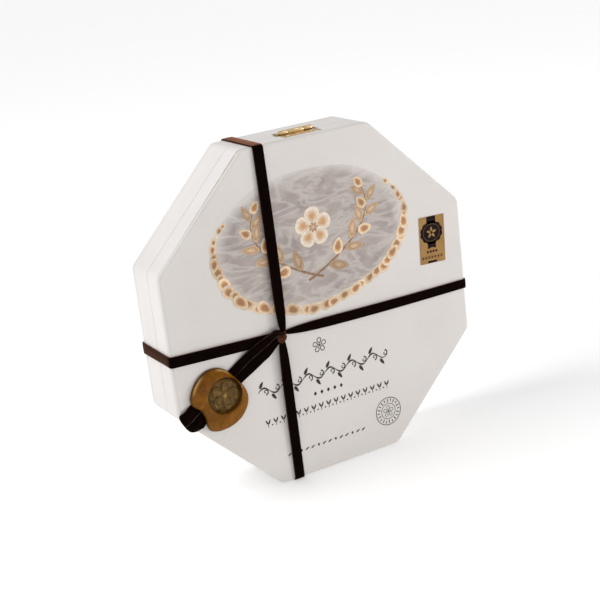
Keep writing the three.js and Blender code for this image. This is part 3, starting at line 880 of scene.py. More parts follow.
def addTurn():  # one short turn of ribbon over the lump
    band = knot["band"]
    middle, reach = (band["left"] + band["right"]) / 2, (band["right"] - band["left"]) / 2
    widest, narrowing = band["widths"]
    across = Vector(band["across"]).normalized()
    rows = []
    for i in range(band["steps"] + 1):
        share = i / band["steps"]
        angle = math.pi * (1 - share)
        x, z = middle + reach * math.cos(angle), band["z"] + band["slant"] * (0.5 - share)
        out = band["base"] + band["peak"] * math.sin(angle) ** band["roundness"]
        outward = Vector((math.cos(angle) * band["sideTilt"], -math.sin(angle) - band["lift"], 0))
        rows.append({"centre": place(x, z, out), "across": across, "outward": outward.normalized(),
                     "width": band["width"] * (widest - narrowing * math.sin(angle)),
                     "folds": band["folds"], "phase": band["foldPhase"]})
    return addStrap(rows)


def makeKnot():
    wrap = addTurn()
    dress(addLump(), "velvet_knot", "velvet", knotVelvet, stands=["ribbon_knot"])
    dress(wrap, "velvet_knot_turn", "velvet", turnVelvet)
    print("knot done")


makeKnot()


# Sealing wax

seal = {
    "x": -72.4, "z": -33.7, "radius": 18, "steps": 192, "stampRadius": 10.6,
    "lobes": [(4.7, 1, 219), (1.0, 2, 122), (0.6, 3, 340)], "dent": (6.2, 209.5, 23),
    "fieldRadius": 9, "fieldStep": 0.3, "fieldHeight": 2.5,
    "rim": [(9.3, 2.42), (9.7, 2.36), (10.05, 2.8), (10.35, 3.6), (10.65, 4.2), (11.1, 4.5), (11.8, 4.55),
            (12.7, 4.4), (13.7, 4.2), (14.8, 3.92), (15.8, 3.48), (16.55, 3.0), (17.2, 2.35), (17.7, 1.6),
            (18, 0.95), (17.85, 0.4), (17.5, 0.1), (0, 0.1)],
    "petals": 5, "petalInside": 2.6, "petalOutside": 7.7, "petalPower": 0.6,
    "petalSwell": 0.45, "swellReach": 1.6, "ridge": 1.0, "ridgeWidth": 0.42, "ridgeWidths": (1.8, 0.8),
    "bossRadius": 1.8, "bossFlat": 0.3, "bossRise": 0.9, "hemRadius": 8.5, "hemWidth": 0.3, "hemShare": 0.5,
    "ripple": (0.16, 0.6), "edgeRipple": (3, 0.45), "dimples": (0.7, 0.12),  # how close, and how high
    "rimFrom": (0.3, 2.5), "rimSlump": 0.3, "channelClearance": 0.2, "channelSpare": (2, 1),
}
wax = {
    "ochre": (0.155, 0.054, 0.001, 1), "amber": (0.225, 0.086, 0.002, 1), "umber": (0.08, 0.028, 0.002, 1),
    # On the next line, the first tone is painted shade at the brink and the second a painted highlight near
    # the rim.
    "brinkShade": (0.075, 0.032, 0.004, 1), "rimHighlight": (0.62, 0.4, 0.16, 1),
    # On the next line, the ridge tone is a painted highlight on the stamp's raised lines and the last tone is
    # painted shade in the moat.
    "field": (0.05, 0.023, 0.003, 1), "ridgeHighlight": (0.36, 0.22, 0.06, 1), "moatShade": (0.018, 0.006, 0.001, 1),
    "roughness": (0.14, 0.3), "coat": 0.3, "coatRoughness": 0.04,
    "subsurface": 0.06, "subsurfaceReach": (0.004, 0.0014, 0.0003), "subsurfaceScale": 0.5,
    "brink": (0.935, 0.985), "brinkShare": 0.7,
    # The thin band, its share and its angles place a painted highlight just inside the rim.
    "thin": (0.905, 0.935, 0.95, 0.975), "rimHighlightShare": 0.75, "rimHighlightAt": [(147, 17), (85, 14)],
    "moat": (9, 9.6, 10.2, 11.4), "moatShares": (0.55, 0.4), "shadeAngle": 55,
}


def sealEdge(angle):
    radius = seal["radius"]
    for size, turns, peak in seal["lobes"]:
        radius += size * math.cos(turns * (angle - math.radians(peak)))
    depth, at, reach = seal["dent"]
    away = (angle - math.radians(at) + math.pi) % turn - math.pi
    return radius - depth * math.exp(-(abs(away / math.radians(reach)) ** 3))


def stampRise(radius, angle):  # a blossom in raised lines
    if radius > seal["fieldRadius"]:
        return 0
    lobe = abs(math.cos(seal["petals"] / 2 * angle))
    outline = seal["petalInside"] + (seal["petalOutside"] - seal["petalInside"]) * lobe ** seal["petalPower"]
    away = radius - outline
    widest, narrowing = seal["ridgeWidths"]
    boss, hem = seal["bossRadius"], (radius - seal["hemRadius"]) / seal["hemWidth"]
    rise = seal["ridge"] * math.exp(-((away / (seal["ridgeWidth"] * (widest - narrowing * lobe))) ** 2))
    rise += seal["petalSwell"] * blendValue(-away, 0, seal["swellReach"])
    rise += seal["bossRise"] * (1 - blendValue(radius, seal["bossFlat"] * boss, boss))
    rise += seal["hemShare"] * seal["ridge"] * math.exp(-(hem ** 2))
    return rise


def makeWax():
    finish = startFinish("sealing wax", Specular_IOR_Level=0.0, Coat_Weight=wax["coat"],
                         Coat_Roughness=wax["coatRoughness"], Subsurface_Weight=wax["subsurface"],
                         Subsurface_Radius=wax["subsurfaceReach"], Subsurface_Scale=wax["subsurfaceScale"])
    swirl = grain(finish, coordinates(finish), 95, 5, 0.55, 1.4)
    mottle = grain(finish, coordinates(finish), 330, 4, 0.6, 0.4)
    colour = mixColours(finish, spread(finish, swirl, 0.4, 0.66), wax["ochre"], wax["amber"])
    colour = mixColours(finish, spread(finish, mottle, 0.52, 0.72, 0, 0.6), colour, wax["umber"])
    away = distanceFrom(finish, seal["x"], seal["z"])
    marks = addNode(finish, "Attribute", attribute_name="relief")
    parts = addNode(finish, "SeparateColor", {0: marks.outputs["Color"]})
    relief, brink, shaded = parts.outputs["Red"], parts.outputs["Green"], parts.outputs["Blue"]
    # Painted shade: the brink of the wax is darker, as where its steep wall turns from the light.
    colour = mixColours(finish, brink, colour, wax["brinkShade"])
    # Painted highlight near the rim, on its upper left and top.
    colour = mixColours(finish, marks.outputs["Alpha"], colour, wax["rimHighlight"])
    cloudy = spread(finish, grain(finish, coordinates(finish), 380, 3), 0.3, 0.75, 0, 0.5)
    # Painted highlight: the stamp's raised lines, and random patches, are lighter than its darker field.
    raised = compute(finish, "MAXIMUM", relief, cloudy)
    stampColour = mixColours(finish, raised, wax["field"], wax["ridgeHighlight"])
    stamped = spread(finish, away, seal["fieldRadius"], seal["stampRadius"], 1, 0)
    colour = mixColours(finish, stamped, colour, stampColour)
    # Painted shade in the moat round the stamp, deepest on its upper right.
    colour = mixColours(finish, shaded, colour, wax["moatShade"])
    feed(finish, "Base Color", colour)
    feed(finish, "Roughness", spread(finish, mottle, 0.3, 0.7, *wax["roughness"]))
    feed(finish, "Normal", addBump(finish, mottle, 0.3, 0.1))
    return finish


def addTailChannel():  # the room that the two tails take up under the wax
    gap = seal["channelClearance"]
    depth = velvet["touch"] + velvet["thickness"] + gap
    before, after = seal["channelSpare"]
    start, end = tails["fall"][1] - before, tailLength + after
    drawn, free = tails["release"]
    low, high = tailEdges("lower", drawn)[0] - gap, tailEdges("upper", drawn)[1] + gap
    wideLow, wideHigh = tailEdges("lower", free)[0] - gap, tailEdges("upper", free)[1] + gap
    middle = (low + high) / 2
    channel = startPiece(bpy.ops.mesh.primitive_cube_add, size=1,
                         location=((start + end) / 2 * mm, middle * mm, 0),
                         scale=((end - start) * mm, (high - low) * mm, 2 * depth * mm))
    fixPlace(channel)
    for station in (drawn, free):
        pick(channel, "VERT", lambda vert: True)
        bpy.ops.mesh.bisect(plane_co=(station * mm, 0, 0), plane_no=(1, 0, 0))
    for side, shift in ((1, wideHigh - high), (-1, wideLow - low)):
        pick(channel, "VERT", lambda vert: vert.co.x > (free - closeEnough) * mm
             and (vert.co.y - middle * mm) * side > 0)
        bpy.ops.transform.translate(value=(0, shift * mm, 0))
    bpy.ops.object.mode_set(mode="OBJECT")
    basis = Matrix((tailAhead, tailUp, faceOut)).transposed().to_4x4()
    basis.translation = tailPlace(0, 0, 0)
    channel.matrix_world = basis
    return channel


def riseAndFall(value, start, full, fading, end):
    return blendValue(value, start, full) * (1 - blendValue(value, fading, end))


def markReliefAndPaintedLight(blob):
    # Painted light. Red: raised stamp lines, lighter; green: brink shade; blue: moat shade; alpha: rim
    # highlight.
    tint = blob.data.color_attributes.new("relief", "FLOAT_COLOR", "POINT")
    moatLight, moatDark = wax["moatShares"]
    for vert, item in zip(blob.data.vertices, tint.data):
        x, z = measured(vert.co)[:2]
        radius, angle = math.hypot(x - seal["x"], z - seal["z"]), math.atan2(z - seal["z"], x - seal["x"])
        share = min(stampRise(radius, angle) / (seal["ridge"] + seal["petalSwell"]), 1) ** 1.5
        outwards = radius / sealEdge(angle)
        brink = blendValue(outwards, *wax["brink"])
        # A painted highlight: a band just inside the rim, facing the upper left and the top.
        thin = riseAndFall(outwards, *wax["thin"])
        facing = sum(math.exp(-(((math.degrees(angle) - at) / reach) ** 4)) for at, reach in wax["rimHighlightAt"])
        # Painted shade: the moat round the stamp, darker on the upper right, the side turned from the light.
        moat = riseAndFall(radius, *wax["moat"])
        side = max(math.cos(angle - math.radians(wax["shadeAngle"])), 0) ** 0.7
        item.color = (share, wax["brinkShare"] * brink, moat * (moatLight + moatDark * side),
                      wax["rimHighlightShare"] * thin * facing)


def makeSeal():
    steps = math.ceil(seal["fieldRadius"] / seal["fieldStep"])
    field = [(seal["fieldRadius"] * i / steps, seal["fieldHeight"]) for i in range(steps + 1)]
    blob = spinProfile(field + seal["rim"], seal["steps"])
    stamp = seal["stampRadius"]
    rippleScale, rippleSize = seal["ripple"]
    edgeScale, edgeSize = seal["edgeRipple"]
    dimpleScale, dimpleSize = seal["dimples"]
    rimStart, rimFull = seal["rimFrom"]
    for vert in blob.data.vertices:
        x, z, height = vert.co.x / mm, vert.co.y / mm, vert.co.z / mm
        radius, angle = math.hypot(x, z), math.atan2(z, x)
        widening = (sealEdge(angle) - stamp) / (seal["radius"] - stamp)
        stretched = stamp + (radius - stamp) * widening if radius > stamp else radius
        scale = stretched / radius if radius else 1
        rise = 0
        if height > 0.2:  # the underside stays flat
            ripple = noise.noise(Vector((x * scale, z * scale, 0)) * rippleScale) * rippleSize
            spot = Vector((math.cos(angle) * edgeScale, math.sin(angle) * edgeScale, 5))
            outer = noise.noise(spot) * edgeSize
            rim = blendValue(radius, stamp + rimStart, stamp + rimFull)
            rise = stampRise(radius, angle) + (ripple + outer) * rim * min(height / 3, 1)
            rise += dimpleSize * noise.noise(Vector((x, z, 9)) * dimpleScale)
            height *= 1 - seal["rimSlump"] * (1 - min(widening, 1)) * rim
        vert.co = place(seal["x"] + x * scale, seal["z"] + z * scale, height + rise)
    tidyShell(blob)
    cutWith(blob, addTailChannel())
    tidyShell(blob, 0.02)
    markReliefAndPaintedLight(blob)
    smoothFaces(blob, 60)
    dress(blob, "poured_wax_seal", "sealing_wax", makeWax(), stands=["wax_seal"])
    print("seal done")


makeSeal()


# Flat shapes for what is printed

def polar(radius, angle, x=0.0, z=0.0):
    return x + radius * math.cos(angle), z + radius * math.sin(angle)


def turnedPoint(x, z, angle, along, side):
    return (x + along * math.cos(angle) - side * math.sin(angle),
            z + along * math.sin(angle) + side * math.cos(angle))


def ovalOutline(x, z, radiusX, radiusZ, steps):
    angles = [turn * i / steps for i in range(steps)]
    return [(x + radiusX * math.cos(angle), z + radiusZ * math.sin(angle)) for angle in angles]


petalAngles = [turn * (i / 5 + 0.25) for i in range(5)]


def inkShape(outline, out, thickness=0.03):
    shape = startPiece(bpy.ops.mesh.primitive_circle_add, vertices=len(outline), radius=mm, fill_type="NGON")
    for vert, (x, z) in zip(shape.data.vertices, outline):
        vert.co = place(x, z, out)
    thicken(shape, thickness)
    return shape


def inkLine(points, widths, out, thickness=0.03, closed=False):
    count = len(points)
    line = startPiece(bpy.ops.mesh.primitive_grid_add, x_subdivisions=1, y_subdivisions=count - 1 + closed,
                      size=mm)
    for i in range(count + closed):
        x, z = points[i % count]
        before = points[i - 1] if i or closed else points[0]
        after = points[(i + 1) % count] if i < count - 1 or closed else points[-1]
        ahead = Vector((after[0] - before[0], after[1] - before[1])).normalized()
        reach = (widths[i % count] if isinstance(widths, list) else widths) / 2
        line.data.vertices[2 * i].co = place(x - ahead.y * reach, z + ahead.x * reach, out)
        line.data.vertices[2 * i + 1].co = place(x + ahead.y * reach, z - ahead.x * reach, out)
    if closed:
        tidyShell(line)
    thicken(line, thickness)
    return line


def thicken(piece, thickness):
    if piece.data.polygons[0].normal.y > 0:  # it has to face the viewer
        piece.data.flip_normals()
    useModifier(piece, "SOLIDIFY", thickness=thickness * mm, offset=1)


def ringLine(x, z, radius, width, out, steps=48):
    return inkLine(ovalOutline(x, z, radius, radius, steps), width, out, closed=True)


def discShape(x, z, radius, out, steps=24):
    return inkShape(ovalOutline(x, z, radius, radius, steps), out)


def barShape(x, low, high, reach, out):
    return inkShape([(x - reach, low), (x + reach, low), (x + reach, high), (x - reach, high)], out)


def diamondShape(x, z, wide, high, out):
    return inkShape([(x - wide, z), (x, z - high), (x + wide, z), (x, z + high)], out)


def leafShape(x, z, angle, length, width, out, steps=14):
    outline = []
    for i in range(steps):
        a = turn * i / steps
        along, side = length / 2 * math.cos(a), width / 2 * math.sin(a) * (1 - 0.35 * math.cos(a))
        outline.append(turnedPoint(x, z, angle, along, side))
    return inkShape(outline, out)


# Foil label

labelLow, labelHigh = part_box("foil_label")
labelX = (measured(labelLow)[0] + measured(labelHigh)[0]) / 2
labelZ = (measured(labelLow)[1] + measured(labelHigh)[1]) / 2
labelTop = measured(labelLow)[2]
label = {
    "turn": 2.8, "height": 29, "badgeX": -0.4, "badgeZ": 4.4, "badge": (8.2, 7.3), "badgeSteps": 120,
    "scallops": 12, "scallopDepth": 0.08, "ringShare": 0.72, "ringWidth": 0.11, "ringSteps": 48,
    "barWidth": 6.5, "barFrom": 5.6, "barTop": 0.1, "footFrom": 0.15, "footHeight": 1.4,
    "pointWidth": 0.9, "pointLow": 2.6, "pointCut": 0.8, "petalFrom": 2.2, "petal": (2.9, 1.4),
    "rows": [("black", -7.3, 4, 2.1, 0.8), ("rust", -10.8, 7, 2.25, 0.85)],  # ink, z, count, pitch, radius
    "dotSides": 8,
    "lift": 0.01, "goldLift": 0.035,
    "foil": (0.33, 0.19, 0.066, 1), "foilDeep": (0.26, 0.143, 0.045, 1), "foilRoughness": (0.3, 0.46),
}


def makeFoil():
    finish = startFinish("gold foil", Metallic=0.75)
    wave = grain(finish, coordinates(finish), 120, 3)
    tone = spread(finish, wave, 0.3, 0.7)
    feed(finish, "Base Color", mixColours(finish, tone, label["foil"], label["foilDeep"]))
    fine = grain(finish, coordinates(finish, (1, 1, 6)), 1500, 2)
    feed(finish, "Roughness", spread(finish, fine, 0.3, 0.7, *label["foilRoughness"]))
    feed(finish, "Normal", addBump(finish, fine, 0.2, 0.02))
    return finish


def makeInk(name, dark, light, roughness=0.5, gloss=0.5):
    finish = startFinish(name, Roughness=roughness, Specular_IOR_Level=gloss)
    patch = grain(finish, coordinates(finish), 700, 3)
    feed(finish, "Base Color", mixColours(finish, spread(finish, patch, 0.35, 0.7), dark, light))
    feed(finish, "Normal", addBump(finish, patch, 0.1, 0.01))
    return finish


blackInk = makeInk("black ink", (0.004, 0.002, 0.002, 1), (0.018, 0.008, 0.01, 1), 0.5, 0.06)
greyInk = makeInk("brown black ink", (0.03, 0.018, 0.017, 1), (0.07, 0.046, 0.044, 1), 0.55, 0.2)
rustInk = makeInk("rust ink", (0.085, 0.032, 0.01, 1), (0.15, 0.065, 0.022, 1), 0.5, 0.15)
creamInk = makeInk("cream ink", (0.80, 0.69, 0.52, 1), (0.62, 0.44, 0.25, 1), 0.46)
stemInk = makeInk("bark ink", (0.2, 0.11, 0.055, 1), (0.34, 0.2, 0.1, 1), 0.48)
foilFinish = makeFoil()


def turnFlat(piece, x, z, angle):  # degrees, clockwise seen from the front
    centre = place(x, z)
    turned = Matrix.Rotation(math.radians(angle), 4, "Y")
    piece.matrix_world = Matrix.Translation(centre) @ turned @ Matrix.Translation(-centre)


def badgeOutline(x, z, wide, high):
    outline = []
    for i in range(label["badgeSteps"]):
        angle = turn * i / label["badgeSteps"]
        dent = 1 - label["scallopDepth"] * (1 - abs(math.sin(label["scallops"] / 2 * angle)))
        outline.append((x + wide * dent * math.cos(angle), z + high * dent * math.sin(angle)))
    return outline


def makeLabel():
    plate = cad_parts["foil_label"]
    plate.data.materials.clear()
    plate.data.materials.append(foilFinish)
    out, x, z = labelTop + label["lift"], labelX + label["badgeX"], labelZ + label["badgeZ"]
    wide, high = label["badge"]
    top = labelZ + label["height"] / 2 - label["barTop"]
    bottom = labelZ - label["height"] / 2 + label["footFrom"]
    reach, barFrom = label["barWidth"] / 2, label["barFrom"]
    low, narrow = z - high - label["pointLow"], reach * label["pointWidth"]
    prints = {"black": [inkShape(badgeOutline(x, z, wide, high), out)], "rust": [], "gold": []}
    prints["black"].append(barShape(x, z + barFrom, top, reach, out))
    prints["black"].append(inkShape([(x - narrow, low), (x, low + label["pointCut"]), (x + narrow, low),
                                     (x + narrow, z - barFrom), (x - narrow, z - barFrom)], out))
    prints["black"].append(barShape(x, bottom, bottom + label["footHeight"], reach, out))
    for ink, row, count, pitch, size in label["rows"]:
        for i in range(count):
            dotX = x + (i - (count - 1) / 2) * pitch
            prints[ink].append(discShape(dotX, labelZ + row, size, out, label["dotSides"]))
    share, above = label["ringShare"], out + label["goldLift"]
    ring = ovalOutline(x, z, wide * share, high * share, label["ringSteps"])
    prints["gold"].append(inkLine(ring, label["ringWidth"], above, closed=True))
    for angle in petalAngles:
        petalX, petalZ = polar(label["petalFrom"], angle, x, z)
        prints["gold"].append(leafShape(petalX, petalZ, angle, *label["petal"], above))
    for ink, name, slotName, finish in (("black", "label_print", "printed_ink", blackInk),
                                        ("rust", "label_rust_dots", "printed_ink", rustInk),
                                        ("gold", "label_gold_lines", "gold_foil", foilFinish)):
        flat = joinPieces(prints[ink])
        turnFlat(flat, labelX, labelZ, label["turn"])
        dress(flat, name, slotName, finish)
    print("label done")


makeLabel()


# Print on the front: an oval of cloudy grey with a wreath of almonds, and small ornaments below it

medallion = {
    "x": -3.2, "z": 41.4, "radiusX": 64, "radiusZ": 41, "steps": 120,
    "waves": (3, 0.012, 0.7), "ripples": (7, 0.01),  # how many, how high, and the phase
    "grey": (0.31, 0.262, 0.24, 1), "pale": (0.43, 0.365, 0.335, 1), "lilac": (0.35, 0.305, 0.3, 1),
    "light": (0.6, 0.54, 0.505, 1), "fade": (0.86, 1.0), "roughness": 0.46,
}
wreath = {
    "count": 40, "from": 150, "to": 392, "length": 8.8, "width": 5.6, "bandWidth": 5.2, "ragged": (0.28, 0.9),
    "grow": 0.985, "stray": (0.3, 0.014, 0.35, 0.2, 0.2),  # place, radius, turn, size, brightness
    "endSize": 0.5, "growth": 0.6, "growthRate": 5, "level": 0.085, "levelStep": 0.006,
    "bandEnd": 0.15, "bandRate": 6, "bandOut": 0.04, "film": 0.015,
    "cream": (0.78, 0.66, 0.5), "amber": (0.8, 0.52, 0.27), "tan": (0.62, 0.35, 0.155),
    "brown": (0.4, 0.2, 0.09), "leafRim": (0.62, 0.46, 0.30), "leaf": (0.4, 0.24, 0.12),
    "petal": (0.84, 0.76, 0.66), "shade": (0.5, 0.3, 0.16, 1),
}
almondWidth = 0.58  # of an almond that is 1 long
sprig = {
    "count": 10, "from": 0.17, "over": 0.8, "lookAhead": 0.02, "foot": (-5, -24), "bow": (43, 0.62),
    "rise": 48, "risePower": 1.15,
    "size": (1.4, 0.45), "lean": (0.72, 0.1),  # the size and its loss on the way up; the lean and its stray
    "level": 0.062, "levelStep": 0.004, "sideStep": 0.002,
    "almond": (4.6, 8, 9, 0.06, 0.1), "leaf": (5.4, 10.5, 11, 0, 0.2),  # place, size, level and shade
    "tip": (1.03, 35, 8, 9, 0.115),  # the last almond's place, turn, length, width and level
    "stemSteps": 24, "stem": (1.5, 0.8), "stemLevel": (0.04, 0.004),
}
blossom = {
    "x": 1.5, "z": 6, "petalAt": 6.4, "petalSize": 11.6, "level": 0.09, "levelStep": 0.012,
    "seeds": 7, "seedAt": 1.7, "seedSize": (3.8, 3.6), "seedLevel": 0.16, "seedStep": 0.006, "seedTone": 0.85,
}


def ovalPoint(angle, grow=1.0):
    waves, waveSize, phase = medallion["waves"]
    ripples, rippleSize = medallion["ripples"]
    ripple = 1 + waveSize * math.sin(waves * angle + phase)
    ripple += rippleSize * math.sin(ripples * angle)
    return (medallion["x"] + medallion["radiusX"] * grow * ripple * math.cos(angle),
            medallion["z"] + medallion["radiusZ"] * grow * ripple * math.sin(angle))


def makeCloudPrint():
    finish = startFinish("cloudy print", Roughness=medallion["roughness"])
    broad = grain(finish, coordinates(finish, (1, 1, 1.7), (0, 0.35, 0)), 34, 6, 0.6, 0.9)
    fine = grain(finish, coordinates(finish), 260, 5, 0.65)
    folds = grain(finish, coordinates(finish, (1, 1, 2.2), (0, -0.4, 0)), 38, 4, 0.55, 1.2)
    colour = mixColours(finish, spread(finish, broad, 0.36, 0.62), medallion["grey"], medallion["pale"])
    colour = mixColours(finish, spread(finish, fine, 0.5, 0.72, 0, 0.45), colour, medallion["lilac"])
    ridge = compute(finish, "ABSOLUTE", compute(finish, "SUBTRACT", folds, 0.5))
    colour = mixColours(finish, spread(finish, ridge, 0.0, 0.09, 0.6, 0), colour, medallion["light"])
    squash = medallion["radiusZ"] / medallion["radiusX"]
    away = distanceFrom(finish, medallion["x"], medallion["z"], squash)
    start, end = (share * medallion["radiusX"] for share in medallion["fade"])
    colour = mixColours(finish, spread(finish, away, start, end, 0, 0.75), colour, paint["front"][0])
    feed(finish, "Base Color", colour)
    feed(finish, "Normal", addBump(finish, fine, 0.15, 0.01))
    return finish


def makeTintPrint():
    finish = startFinish("almond print", Roughness=medallion["roughness"])
    tint = addNode(finish, "Attribute", attribute_name="tint").outputs["Color"]
    fine = grain(finish, coordinates(finish), 900, 4, 0.6)
    shade = mixColours(finish, spread(finish, fine, 0.35, 0.7, 0, 0.45), tint, wreath["shade"], "MULTIPLY")
    feed(finish, "Base Color", shade)
    feed(finish, "Normal", addBump(finish, fine, 0.15, 0.01))
    return finish


def ringTemplate(halfWidth, shares, colours, steps=22):
    # Flat, 1 long and pointed to +X; halfWidth gives the outline, and rings of faces carry the tints.
    piece = startPiece(bpy.ops.mesh.primitive_circle_add, vertices=steps, radius=0.5, fill_type="NGON")
    for vert in piece.data.vertices:
        angle = math.atan2(vert.co.y, vert.co.x)
        vert.co.y = halfWidth(angle) * math.sin(angle)
    rings = [set(range(steps))]
    for share in shares:
        known = set().union(*rings)
        centre = min(range(len(piece.data.polygons)), key=lambda i: piece.data.polygons[i].center.length)
        pick(piece, "FACE", lambda face: face.index == centre)
        bpy.ops.mesh.inset(thickness=0)
        bpy.ops.transform.resize(value=(share, share, 1), center_override=(0, 0, 0))
        bpy.ops.object.mode_set(mode="OBJECT")
        rings.append(set(range(len(piece.data.vertices))) - known)
    tint = piece.data.color_attributes.new("tint", "FLOAT_COLOR", "POINT")
    for ring, colour in zip(rings[1:] + rings[:1], colours):  # the first ring ends up innermost
        for i in ring:
            tint.data[i].color = (*wreath[colour], 1)
    return piece


def copyFlat(template, x, z, angle, length, width, out, brightness=1.0):
    copy = template.copy()
    copy.data = template.data.copy()
    bpy.context.collection.objects.link(copy)
    for item in copy.data.color_attributes["tint"].data:
        item.color = (*(min(value * brightness, 0.9) for value in item.color[:3]), 1)
    for vert in copy.data.vertices:
        vert.co = place(*turnedPoint(x, z, angle, vert.co.x * length, vert.co.y * width), out)
    return copy


def randomly(index, salt):  # a fixed draw between -1 and 1
    return 2 * ((math.sin(index * 127.1 + salt * 311.7) * 43758.5453) % 1) - 1


def sprigPoint(side, share):  # two sprigs cross at the foot and rise to both sides
    footX, footZ = sprig["foot"]
    reach, bend = sprig["bow"]
    bow = math.sin(share * bend * math.pi)
    return (medallion["x"] + side * (footX + reach * bow),
            medallion["z"] + footZ + sprig["rise"] * share ** sprig["risePower"])


def addSprig(side, templates):
    pieces = []
    largest, smaller = sprig["size"]
    lean, stray = sprig["lean"]
    for i in range(sprig["count"]):
        share = sprig["from"] + sprig["over"] * i / sprig["count"]
        x, z = sprigPoint(side, share)
        nextX, nextZ = sprigPoint(side, share + sprig["lookAhead"])
        way = 1 if i % 2 else -1
        size = largest - smaller * share
        angle = math.atan2(nextZ - z, nextX - x) + way * (lean + stray * randomly(i, 6))
        level = sprig["level"] + sprig["levelStep"] * (i % 5) + sprig["sideStep"] * (side > 0)
        kind, salt = ("almond", 7) if i % 3 == 1 else ("leaf", 8)
        away, length, width, above, shade = sprig[kind]
        pieces.append(copyFlat(templates[kind], *polar(away * size, angle, x, z), angle, length * size,
                               width * size, level + above, 1 + shade * randomly(i, salt)))
    share, tipTurn, length, width, level = sprig["tip"]
    x, z = sprigPoint(side, share)
    angle = math.radians(90 + side * tipTurn)
    pieces.append(copyFlat(templates["almond"], x, z, angle, length, width, level))
    return pieces


def addBlossom(templates):
    pieces = []
    x, z = medallion["x"] + blossom["x"], medallion["z"] + blossom["z"]
    size = blossom["petalSize"]
    for i, angle in enumerate(petalAngles):
        level = blossom["level"] + blossom["levelStep"] * i
        petalX, petalZ = polar(blossom["petalAt"], angle, x, z)
        pieces.append(copyFlat(templates["petal"], petalX, petalZ, angle, size, size, level))
    for i in range(blossom["seeds"]):
        angle = turn * i / blossom["seeds"]
        level = blossom["seedLevel"] + blossom["seedStep"] * i
        pieces.append(copyFlat(templates["almond"], *polar(blossom["seedAt"], angle, x, z), angle,
                               *blossom["seedSize"], level, blossom["seedTone"]))
    return pieces


def wreathAngle(share):
    return math.radians(wreath["from"] + (wreath["to"] - wreath["from"]) * share)


def addAlmonds(almond):  # one after the other round the oval, smaller towards both ends
    pieces = []
    straySide, strayOut, strayTurn, straySize, strayTone = wreath["stray"]
    rate = wreath["growthRate"]
    for i in range(wreath["count"]):
        share = (i + straySide * randomly(i, 1)) / (wreath["count"] - 1)
        angle = wreathAngle(share)
        ahead = math.atan2(medallion["radiusZ"] * math.cos(angle), -medallion["radiusX"] * math.sin(angle))
        x, z = ovalPoint(angle, wreath["grow"] + strayOut * randomly(i, 2))
        growth = wreath["growth"] * min(1, rate * share, rate * (1 - share))
        size = (1 + straySize * randomly(i, 4)) * (wreath["endSize"] + growth)
        level = wreath["level"] + wreath["levelStep"] * (i % 6)
        pieces.append(copyFlat(almond, x, z, ahead + strayTurn * randomly(i, 3), wreath["length"] * size,
                               wreath["width"] * size / almondWidth, level, 1 + strayTone * randomly(i, 5)))
    return pieces


def addStem(side):
    steps = sprig["stemSteps"]
    thick, thinner = sprig["stem"]
    level, sideLevel = sprig["stemLevel"]
    points = [sprigPoint(side, i / steps) for i in range(steps + 1)]
    widths = [thick - thinner * i / steps for i in range(steps + 1)]
    return inkLine(points, widths, level + sideLevel * side, wreath["film"])


def addCreamBand():
    band, widths = [], []
    ragged, pace = wreath["ragged"]
    rest, rate = wreath["bandEnd"], wreath["bandRate"]
    for i in range(medallion["steps"]):
        share = i / (medallion["steps"] - 1)
        band.append(ovalPoint(wreathAngle(share), wreath["grow"]))
        uneven = 1 + ragged * noise.noise(Vector((i * pace, 0, 3)))
        swell = rest + (1 - rest) * min(1, rate * share, rate * (1 - share))
        widths.append(wreath["bandWidth"] * uneven * swell)
    return inkLine(band, widths, wreath["bandOut"], wreath["film"])


def makeWreath():
    templates = {
        "almond": ringTemplate(lambda a: almondWidth / 2 * (1 - 0.3 * math.cos(a)), (0.94, 0.8, 0.9, 0.55),
                               ("brown", "cream", "cream", "amber", "tan")),
        "leaf": ringTemplate(lambda a: 0.2 * abs(math.sin(a)) ** 0.4 * (1 - 0.25 * math.cos(a)),
                             (0.8, 0.9, 0.3), ("leafRim", "leafRim", "leaf", "leaf")),
        "petal": ringTemplate(lambda a: 0.42 * (1 + 0.35 * math.cos(a)), (0.93, 0.8, 0.35),
                              ("tan", "petal", "petal", "leafRim")),
    }
    pieces = addAlmonds(templates["almond"]) + addSprig(-1, templates) + addSprig(1, templates)
    pieces += addBlossom(templates)
    for template in templates.values():
        bpy.data.objects.remove(template)
    garland = joinPieces(pieces)
    thicken(garland, wreath["film"])
    dress(garland, "print_almond_wreath", "printed_ink", makeTintPrint())
    dress(joinPieces([addStem(-1), addStem(1)]), "print_sprig_stems", "printed_ink", stemInk)
    dress(addCreamBand(), "print_cream_band", "printed_ink", creamInk)


def makeMedallion():
    outline = [ovalPoint(turn * i / medallion["steps"]) for i in range(medallion["steps"])]
    dress(inkShape(outline, 0.01, 0.02), "print_cloudy_oval", "printed_ink", makeCloudPrint())
    makeWreath()
    print("medallion done")


makeMedallion()

